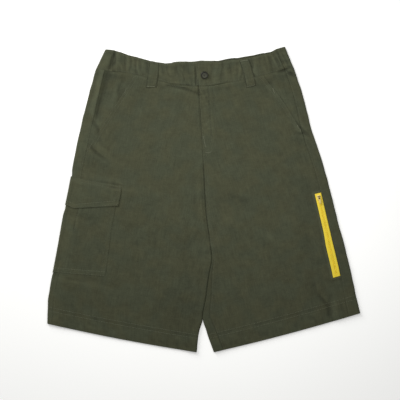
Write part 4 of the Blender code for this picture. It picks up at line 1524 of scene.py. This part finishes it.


# Small repeated shapes: one is shaped, then copied to every place.
def shaped(segments, rings, size):
    bpy.ops.object.select_all(action="DESELECT")
    bpy.ops.mesh.primitive_uv_sphere_add(segments=segments, ring_count=rings, radius=0.5 * mm)
    bpy.ops.object.mode_set(mode="EDIT")
    bpy.ops.transform.rotate(value=radians(90), orient_axis="Y", center_override=(0, 0, 0))
    bpy.ops.transform.resize(value=size)
    bpy.ops.object.mode_set(mode="OBJECT")
    model = bpy.context.object
    corners = np.array([tuple(v.co) for v in model.data.vertices])
    # blunt ends, so that it is a short rod and not an egg
    share = corners[:, 0] / abs(corners[:, 0]).max()
    corners[:, 0] *= 1 - 0.12 * share**2
    faces = [tuple(face.vertices) for face in model.data.polygons]
    bpy.data.objects.remove(model)
    return corners, faces


def copied(name, shape, places, along, normals, finish, slot):
    corners, faces = shape
    places, along, normals = (np.asarray(v, float) for v in (places, along, normals))
    aside = unit(np.cross(normals, along))
    normals = np.cross(unit(along), aside)
    turned = (
        corners[None, :, :1] * unit(along)[:, None]
        + corners[None, :, 1:2] * aside[:, None]
        + corners[None, :, 2:] * normals[:, None]
    )
    points = (turned + (places + np.array(form["centreShift"]))[:, None] * mm).reshape(-1, 3)
    points[:, 2] = np.maximum(points[:, 2], form["threadFoot"] * mm)
    every = [
        tuple(corner + number * len(corners) for corner in face)
        for number in range(len(places))
        for face in faces
    ]
    mesh = bpy.data.meshes.new(name)
    mesh.from_pydata(points.tolist(), [], every)
    placed(name, mesh, finish, slot)
    print(f"{name}: {len(places)} copies, {len(every)} faces")


def laidOn(face, points, normals):
    # points dropped on a finished piece's face, with the face's own normals
    shift = np.array(form["centreShift"])
    places, own = [], []
    for point, normal in zip(points, normals):
        start = Vector((point + shift + normal * 5) * mm)
        hit, at, turned, _ = face.piece.ray_cast(start, Vector(-normal))
        places.append(np.array(at) / mm - shift if hit else point)
        own.append(np.array(turned) if hit else normal)
    return np.array(places), unit(np.array(own) + normals)


def sewnRow(face, downs, arcs, pitch, offset=0.5):
    # even steps along a line on a piece's face, with their directions and normals
    downs, arcs = together(downs, arcs)
    points, normals = face.base(downs, arcs), face.normals(downs, arcs)
    run = np.linalg.norm(np.diff(points, axis=0), axis=-1)
    along = np.concatenate([[0], np.cumsum(run)])
    count = max(int(along[-1] / pitch), 1)
    at = (np.arange(count) + offset) / count * along[-1]

    def read(values, where):
        return np.stack([np.interp(where, along, values[:, axis]) for axis in range(3)], -1)

    places, turned = laidOn(face, read(points, at), unit(read(normals, at)))
    ahead = unit(read(points, at + 0.6) - read(points, at - 0.6))
    if count > 2:
        ahead = unit(np.gradient(places, axis=0) + ahead * 2)
    return places, ahead, turned


# The slider, its bridge and the pull are shaped about the zip's own axes: X across it,
# Y down it and Z off the cloth. The pull is shaped about its bar.
zipSlider = {
    "down": 9,  # from the tape's upper end to its middle
    "middle": 7.25,  # from the side seam to the hinge's middle
    "aside": -1.3,  # nearer to the seam than that
    "body": (7.8, 10.5, 2.5),
    "off": 0.3,  # off the tape
    "corner": 2.4,
    "tail": 0.8,  # how much narrower its lower end is
    "plate": 0.8,
    "groove": 0.5,
    "crown": 0.35,
    "bridge": (1.8, 0.8),  # wide and thick
    "reach": 2.4,  # from the bar to the middle of each foot
    "sunk": 0.6,
    "wing": 1.9,
    "pull": (4.4, 13.0, 1.1),
    "bar": 1.1,
    "barHeight": 1.25,
    "window": (2.8, 4.2),
    "pullEnd": 0.74,
    "droop": 5,  # degrees below level
}


def startBlock(name, size, at):
    bpy.ops.object.select_all(action="DESELECT")
    bpy.ops.mesh.primitive_cube_add(size=mm)
    bpy.context.object.name = name
    bpy.ops.object.mode_set(mode="EDIT")
    bpy.ops.transform.resize(value=size)
    bpy.ops.transform.translate(value=Vector(at) * mm)
    return bpy.context.object


def choose(kind, rule):
    # select faces or edges by their middle and by their normal or run
    mesh = bmesh.from_edit_mesh(bpy.context.object.data)
    bpy.ops.mesh.select_mode(type="FACE" if kind == "faces" else "EDGE")
    bpy.ops.mesh.select_all(action="DESELECT")
    for part in getattr(mesh, kind):
        if kind == "faces":
            at, way = part.calc_center_median(), part.normal
        else:
            first, last = (corner.co for corner in part.verts)
            at, way = (first + last) / 2, (last - first).normalized()
        part.select_set(bool(rule(at / mm, way)))
    mesh.select_flush_mode()
    bmesh.update_edit_mesh(bpy.context.object.data)


def bevelled(offset, segments):
    bpy.ops.mesh.bevel(offset=offset * mm, segments=segments, affect="EDGES")


def scaled(scale, about=(0, 0, 0)):
    bpy.ops.transform.resize(value=scale, center_override=metres(about))


def drawnOut(way):
    bpy.ops.mesh.extrude_region_move(TRANSFORM_OT_translate={"value": metres(way)})


def cutAcross(at, way):
    bpy.ops.mesh.select_all(action="SELECT")
    bpy.ops.mesh.bisect(plane_co=Vector(at) * mm, plane_no=way)


def finished(made, rounding, turned, finish, node, rider):
    # rounded edges, set down in its place on the zip
    bpy.ops.mesh.select_all(action="SELECT")
    bpy.ops.mesh.remove_doubles(threshold=0.001 * mm)
    bpy.ops.mesh.normals_make_consistent(inside=False)
    bpy.ops.object.mode_set(mode="OBJECT")
    edges = made.modifiers.new("rounded edges", "BEVEL")
    edges.width, edges.segments, edges.angle_limit = rounding * mm, 3, radians(35)
    bpy.ops.object.modifier_apply(modifier=edges.name)
    bpy.ops.object.shade_smooth_by_angle(angle=radians(40))
    made.matrix_world = turned
    bpy.ops.object.transform_apply(location=True, rotation=True, scale=True)
    made.data.materials.append(finish)
    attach(made, rider)
    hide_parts(node)
    print(f"{made.name}: {len(made.data.polygons)} faces")


def onZip():
    # where the slider's middle stands, and how it is turned
    start = thighZip["top"] + zipSlider["down"]
    downs = np.array([start, start + 20.0])
    arc = single(leftLeg.seamArc, thighZip["top"]) + zipSlider["middle"]
    at, further = leftLeg.ring(downs, arc + 0 * downs, form["gap"] + thighZip["tape"])
    way = Vector(further - at).normalized()
    across = way.cross(Vector((0, 0, 1))).normalized()
    turned = Matrix((across, way, across.cross(way))).transposed().to_4x4()
    shift = Matrix.Translation((zipSlider["aside"] * mm, 0, 0))
    return Matrix.Translation(Vector(at + np.array(form["centreShift"])) * mm) @ turned @ shift


sliderPlace = onZip()
wide, long, thick = zipSlider["body"]
foot, plate = zipSlider["off"], zipSlider["plate"]
top = foot + thick
low = thick - zipSlider["crown"]
made = startBlock("zip_slider_body", (wide, long, low), (0, 0, foot + low / 2))
choose("edges", lambda at, way: abs(way.z) > 0.9)
bevelled(zipSlider["corner"], 5)
choose("faces", lambda at, way: abs(way.z) < 0.1 and at.y > 1)
scaled((zipSlider["tail"], 1, 1))
cutAcross((0, 0, foot + plate), (0, 0, 1))
cutAcross((0, 0, foot + low - plate), (0, 0, 1))
choose("faces", lambda at, way: abs(way.z) < 0.1 and plate < at.z - foot < low - plate)
bpy.ops.mesh.inset(thickness=0.05 * mm, depth=-zipSlider["groove"] * mm)
choose("faces", lambda at, way: way.z > 0.9 and at.z > top - zipSlider["crown"] - 0.1)
bpy.ops.mesh.inset(thickness=1.2 * mm, depth=0)
bpy.ops.transform.translate(value=(0, 0, zipSlider["crown"] * mm))
finished(made, 0.18, sliderPlace, enamelFinish, "zip_slider", body)

wide, thick = zipSlider["bridge"]
reach, sunk = zipSlider["reach"], zipSlider["sunk"]
over = top + 0.2  # where its arch begins
size = (wide, thick, over - top + sunk)
made = startBlock("zip_slider_bridge", size, (0, -reach, (over + top - sunk) / 2))
for turn in (-1, 1):
    choose("faces", lambda at, way: way.x * turn > 0.9)
    drawnOut((turn * zipSlider["wing"], 0, 0))
    scaled((1, 2.4, 1), (0, -(reach + 0.1), top - sunk))
choose("faces", lambda at, way: way.z > 0.9 and abs(at.x) < 0.1)
bpy.ops.mesh.spin(steps=12, angle=pi, center=(0, 0, over * mm), axis=(1, 0, 0))
drawnOut((0, 0, -(over - top + sunk)))
finished(made, 0.14, sliderPlace, metalFinish, "zip_slider", body)

wide, long, thick = zipSlider["pull"]
bar, window = zipSlider["bar"], zipSlider["window"]
start, end = bar / 2, bar / 2 + window[1]
half = window[0] / 2
made = startBlock("zip_pull_tab", (wide, long, thick), (0, (long - bar) / 2, 0))
for at in (start, end, end + 1.6):
    cutAcross((0, at, 0), (0, 1, 0))
for turn in (-1, 1):
    cutAcross((turn * half, 0, 0), (1, 0, 0))
choose("faces", lambda at, way: abs(way.z) > 0.9 and abs(at.x) < half and start < at.y < end)
bpy.ops.mesh.bridge_edge_loops()
choose(
    "edges",
    lambda at, way: abs(way.z) > 0.9
    and abs(abs(at.x) - half) < 0.1
    and -0.1 < at.y - start < end - start + 0.1,
)
bevelled(0.5, 3)
choose("faces", lambda at, way: way.y > 0.9 and at.y > end + 3)
scaled((zipSlider["pullEnd"], 1, 1))
choose("edges", lambda at, way: abs(way.z) > 0.9 and at.y > end + 3 and abs(at.x) > half)
bevelled(1.3, 4)
choose("edges", lambda at, way: abs(way.z) > 0.9 and at.y < 0 and abs(at.x) > half)
bevelled(0.45, 3)
hinge = Matrix.Translation((0, 0, (top + zipSlider["barHeight"]) * mm))
droop = Matrix.Rotation(radians(-zipSlider["droop"]), 4, "X")
finished(made, 0.25, sliderPlace @ hinge @ droop, enamelFinish, "zip_pull", "pull")

toothShape = shaped(6, 4, tuple(thighZip["tooth"]))
lower = thighZip["top"] + zipSlider["down"] + zipSlider["body"][1] / 2
rows = []
for turn in (-1, 1):
    along = np.linspace(lower, thighZip["bottom"] - 4, 200)
    middle = leftLeg.seamArc(along) + sum(zipEdges(along)) / 2
    arcs = middle + turn * thighZip["toothOffset"]
    pitch = thighZip["toothPitch"]
    places, ahead, normals = sewnRow(tapePlace, along, arcs, pitch, 0.5 + turn / 4)
    across = np.cross(normals, ahead) + ahead * 0.18 * turn
    rows.append((places + normals * 0.2, across, normals))
copied("zip_coil", toothShape, *map(np.concatenate, zip(*rows)), coilFinish, "yellow_tape")

# thread: topstitching and tacks
thread = {"pitch": 3.1, "size": (2.5, 0.62, 0.5), "proud": 0.04, "twist": 0.06, "stray": 0.08}
stitchShape = shaped(6, 4, thread["size"])
runs = {}


def sew(group, place, downs, arcs):
    places, along, normals = sewnRow(place, downs, arcs, thread["pitch"])
    random = np.random.default_rng(len(runs.get(group, ())) + len(group))
    aside = np.cross(normals, along)
    twist = random.normal(0, thread["twist"], (len(places), 1))
    stray = random.normal(0, thread["stray"], (len(places), 1))
    places = places + normals * thread["proud"] + aside * stray
    runs.setdefault(group, []).append((places, along + aside * twist, normals))


def tack(group, place, start, end, turns=14):
    # a bar tack: close zigzag stitches along a short line of (down, arc)
    share = np.linspace(0, 1, turns)
    down, arc = blend(start[0], end[0], share), blend(start[1], end[1], share)
    flat = place.base(down, arc)
    centre, normals = laidOn(place, flat, place.normals(down, arc))
    along = unit(flat[-1:] - flat[:1])
    aside = unit(np.cross(normals, along + 0 * centre))
    slant = along * 0.18 * np.where(np.arange(turns) % 2, 1, -1)[:, None]
    places = centre + normals * (thread["proud"] + 0.12)
    runs.setdefault(group, []).append((places, aside + slant, normals))


for side, leg in legs.items():
    front, back = frontPlaces[side], backPlaces[side]
    along = np.linspace(0, 1, 160)
    # hem, all round
    for up in form["hemRows"]:
        down = np.full(160, float(form["hem"] - up))
        start = leg.edgeArc(down) + 1.2
        end = leg.girth(down) - leg.inseamArc(down) - 1.4
        sew(f"front_{side}_pale_thread", front, down, blend(start, end, along))
        past = -leg.girth(down) - leg.inseamArc(down) + 1.4
        sew(f"back_{side}_pale_thread", back, down, blend(past, leg.seamArc(down) - 1.2, along))
    # side seam, on the back's edge
    down = np.linspace(3, form["hem"] - 3, 300)
    sew(f"back_{side}_thread", back, down, leg.seamArc(down) - 2.4)
    # hand pocket's slanted edge
    for inside in (2.6, 8.6):
        down = np.linspace(3, leg.openEnd - (2 if inside < 5 else 6), 160)
        sew(f"front_{side}_thread", front, down, leg.edgeArc(down) + inside)
    for at, long in ((32, 11), (leg.openEnd - 11, 7), (leg.openEnd - 2, 5)):
        arc = single(leg.edgeArc, at) + 1.5
        group = f"front_{side}{'_pale' * (side == 'left')}_thread"
        tack(group, front, (at, arc), (at + long, arc), round(1.3 * long))
    # waist seam, on the legs' side of it
    down = np.full(160, 3.0)
    start, end = leg.edgeArc(down) + 2, leg.girth(down) - 2
    sew(f"front_{side}_thread", front, down, blend(start, end, along))
    # centre back seam
    down = np.linspace(3, form["crotch"] - 2, 200)
    for inside in (2.4, 8.4) if side == "left" else (2.4,):
        sew(f"back_{side}_thread", back, down, inside - leg.girth(down))

# inseams and the seam under the fly
leftFront = frontPlaces["left"]
down = np.linspace(form["flyEnd"] + 6, form["crotch"] - 4, 160)
for inside in (2.4, 8.4):
    sew("front_left_thread", leftFront, down, leftLeg.girth(down) - inside)
down = np.linspace(form["crotch"] + 16, form["hem"] - 3, 200)
end = leftLeg.girth(down) - leftLeg.inseamArc(down)
sew("front_left_thread", leftFront, down, end - 2.6)
sew("back_right_thread", backPlaces["right"], down, 2.6 - rightLeg.girth(down))

# the fly's edge and the curved double row beside it
fly = {"rows": (20, 30), "turn": 100, "foot": 131, "edge": 2.2}
down = np.linspace(4, form["flyEnd"] - 2, 120)
sew("front_left_thread", leftFront, down, leftLeg.girth(down) - fly["edge"])
for away in fly["rows"]:
    straight = np.linspace(3, fly["turn"], 90)
    bend = np.linspace(0, pi / 2, 40)[1:]
    foot = fly["foot"] + (away - fly["rows"][0]) * 0.6
    down = np.concatenate([straight, fly["turn"] + (foot - fly["turn"]) * np.sin(bend)])
    aside = np.concatenate([0 * straight + away, away * np.cos(bend) ** 0.8 + 2 * np.sin(bend)])
    sew("front_left_thread", leftFront, down, leftLeg.girth(down) - aside)
girth = single(leftLeg.girth, 105)
tack("front_left_pale_thread", leftFront, (100, girth - 5), (122, girth - 4.5), 24)
tack("front_left_pale_thread", leftFront, (133, girth - 1), (134, girth - 12))

# waistband: a row along each edge
for part in ("right", "left", "back"):
    start, end = waistband["overlap"]
    spans = {
        "right": (waistband["sideSeam"] + 2 + bandBend, end + bandBend - 2),
        "left": (start + bandBend + 2, band.length - waistband["sideSeam"] - 2 + bandBend),
        "back": (
            waistband["backRow"] - waistband["sideSeam"] + 4,
            waistband["sideSeam"] + bandBend - 2,
        ),
    }
    arcs = np.linspace(*spans[part], 600)
    across = acrossBand(arcs)
    depth, peek = band.depth(across), band.peek(across) if part != "back" else 0.5
    for down in (depth - 2.4, peek + 3.4 + 0 * across):
        aside = overlapAside(down) * fade(arcs - arcs[0], 0, 30) if part == "left" else 0
        sew(f"{part}_band_thread", bandPlaces[part], down, arcs + aside)
down = np.linspace(4, single(band.depth, waistband["overlap"][0]) - 4, 40)
arcs = waistband["overlap"][0] + bandBend + 2.2 + overlapAside(down)
sew("left_band_thread", bandPlaces["left"], down, arcs)

# belt loops: a row along each edge and a tack across each end
for place, ((start, end), surface) in loopPlaces.items():
    down = np.linspace(start + 2, end - 2, 40)
    for arc in (-6.9, 6.9):
        sew("loop_thread", surface, down, np.full(40, arc))
    for down in (start + 1.8, end - 1.8):
        # the left loop's head is the pale one, on the others the foot
        pale = (down > start + 2) != (place == "front_left")
        group = "loop_pale_thread" if pale else "loop_thread"
        tack(group, surface, (down, -7.5), (down, 7.5), 22)

# cargo pocket and flap
down = np.linspace(pocket["top"] + 2, pocket["bottom"] - 3, 160)
start, end = wrapEnds(blend(*pocket["halfWidth"], pocketShare(down)), down)
for inside in cargo["rows"]:
    sew("pocket_thread", pocketPlace, down, end - inside)
    sew("pocket_thread", pocketPlace, down, start + inside)
    arcs = np.linspace(start[-1] + 2, end[-1] - 2, 160)
    sew("pocket_pale_thread", pocketPlace, pocketFoot(arcs) - inside, arcs)
for turn in (-1, 1):
    down = np.linspace(pocket["top"] + 3, 344, 80)
    arc = pocket["middle"] + turn * (cargo["pleat"] + 2)
    sew("pocket_thread", pocketPlace, down, np.full(80, arc))
half, middle = pocket["flapHalfWidth"], pocket["middle"]
fold = single(rightLeg.nearRadius, pocket["flapTop"]) * pi / 2
for inside in (2.6, 8.6):
    right, left = middle + half - inside, middle - half - fold + inside
    lowerRight = pocket["flapCorner"] - inside * 1.05
    point = pocket["flapPoint"] - inside * 1.05
    even = np.linspace(0, 2, 260)
    down = np.interp(even, range(3), [lowerRight, point, lowerRight])
    sew("flap_pale_thread", flapPlace, down, np.interp(even, range(3), [left, middle, right]))
    down = np.linspace(pocket["flapTop"] + 1.5, lowerRight, 80)
    for arc in (left, right):
        sew("flap_thread", flapPlace, down, np.full(80, arc))
for inside in (2.4, 8.0):
    arcs = np.linspace(middle - half - fold + 2, middle + half - 2, 300)
    sew("flap_thread", flapPlace, np.full(300, pocket["flapTop"] + inside), arcs)
tack("flap_thread", flapPlace, (228, middle + half - 2.4), (237, middle + half - 2.4))

# a row all round the thigh zip
down = np.linspace(thighZip["top"] - 3, thighZip["bottom"] + 3, 200)
sew("zip_thread", leftFront, down, leftLeg.seamArc(down) + zipEdges(down)[1] + 2.6)
for end in (thighZip["top"] - 3, thighZip["bottom"] + 3):
    down = np.full(20, float(end))
    arcs = leftLeg.seamArc(down) + np.linspace(1.5, zipEdges(end)[1] + 2.6, 20)
    sew("zip_thread", leftFront, down, arcs)

for group, parts in runs.items():
    finish = paleFinish if group.endswith("pale_thread") else threadFinish
    copied(group, stitchShape, *map(np.concatenate, zip(*parts)), finish, "olive_twill")
print("stitched")

# the button's solid stays as it is, with its finish
for place in bpy.data.objects["waist_button"].material_slots:
    place.material = resinFinish

# the floor, the light and the camera
stage = {
    "floor": -0.3,
    "floorSize": 6000,
    "floorColour": (236, 236, 234),
    "floorGlow": 0.5,
    "key": ((-1050, 1150, 950), 1100, 25),  # place, size, power
    "top": ((60, 150, 640), 520, 2.4),
    "world": 0.13,
    "view": (-7.5, -1.3),
    "viewWidth": 800,
    "lens": 100,
    "sensor": 36,
}


def areaLight(name, place, size, power):
    bpy.ops.object.light_add(type="AREA", location=Vector(place) * mm)
    lamp = bpy.context.object
    lamp.name = name
    lamp.data.size = size * mm
    lamp.data.energy = power
    aim = Vector((0, 0.15, 0)) - lamp.location
    lamp.rotation_euler = aim.to_track_quat("-Z", "Y").to_euler()


place = (0, 0, stage["floor"] * mm)
bpy.ops.mesh.primitive_plane_add(size=stage["floorSize"] * mm, location=place)
floor = bpy.context.object
floor.name = "floor"
bpy.ops.object.transform_apply(location=True)
paper = Finish("pale floor")
place = paper.node("ShaderNodeTexCoord", output="Object")
tone = colour(*stage["floorColour"])
near = paper.noise(place, 300) * 0.04 + 0.98
paper.set(Base_Color=paper.mix(near, (0, 0, 0, 1), tone), Roughness=0.9)
paper.set(Emission_Color=tone, Emission_Strength=stage["floorGlow"])
floor.data.materials.append(paper.material)

areaLight("key light", *stage["key"])
areaLight("top light", *stage["top"])
world = bpy.data.worlds.new("studio")
bpy.context.scene.world = world
world.use_nodes = True
sky = world.node_tree.nodes["Background"].inputs
sky["Color"].default_value = (1, 1, 1, 1)
sky["Strength"].default_value = stage["world"]

height = stage["viewWidth"] * stage["lens"] / stage["sensor"]
bpy.ops.object.camera_add(location=metres((*stage["view"], height)))
camera = bpy.context.object
camera.data.lens = stage["lens"]
camera.data.sensor_width = stage["sensor"]
bpy.context.scene.camera = camera
bpy.context.scene.view_settings.view_transform = "Standard"
print("stage set")
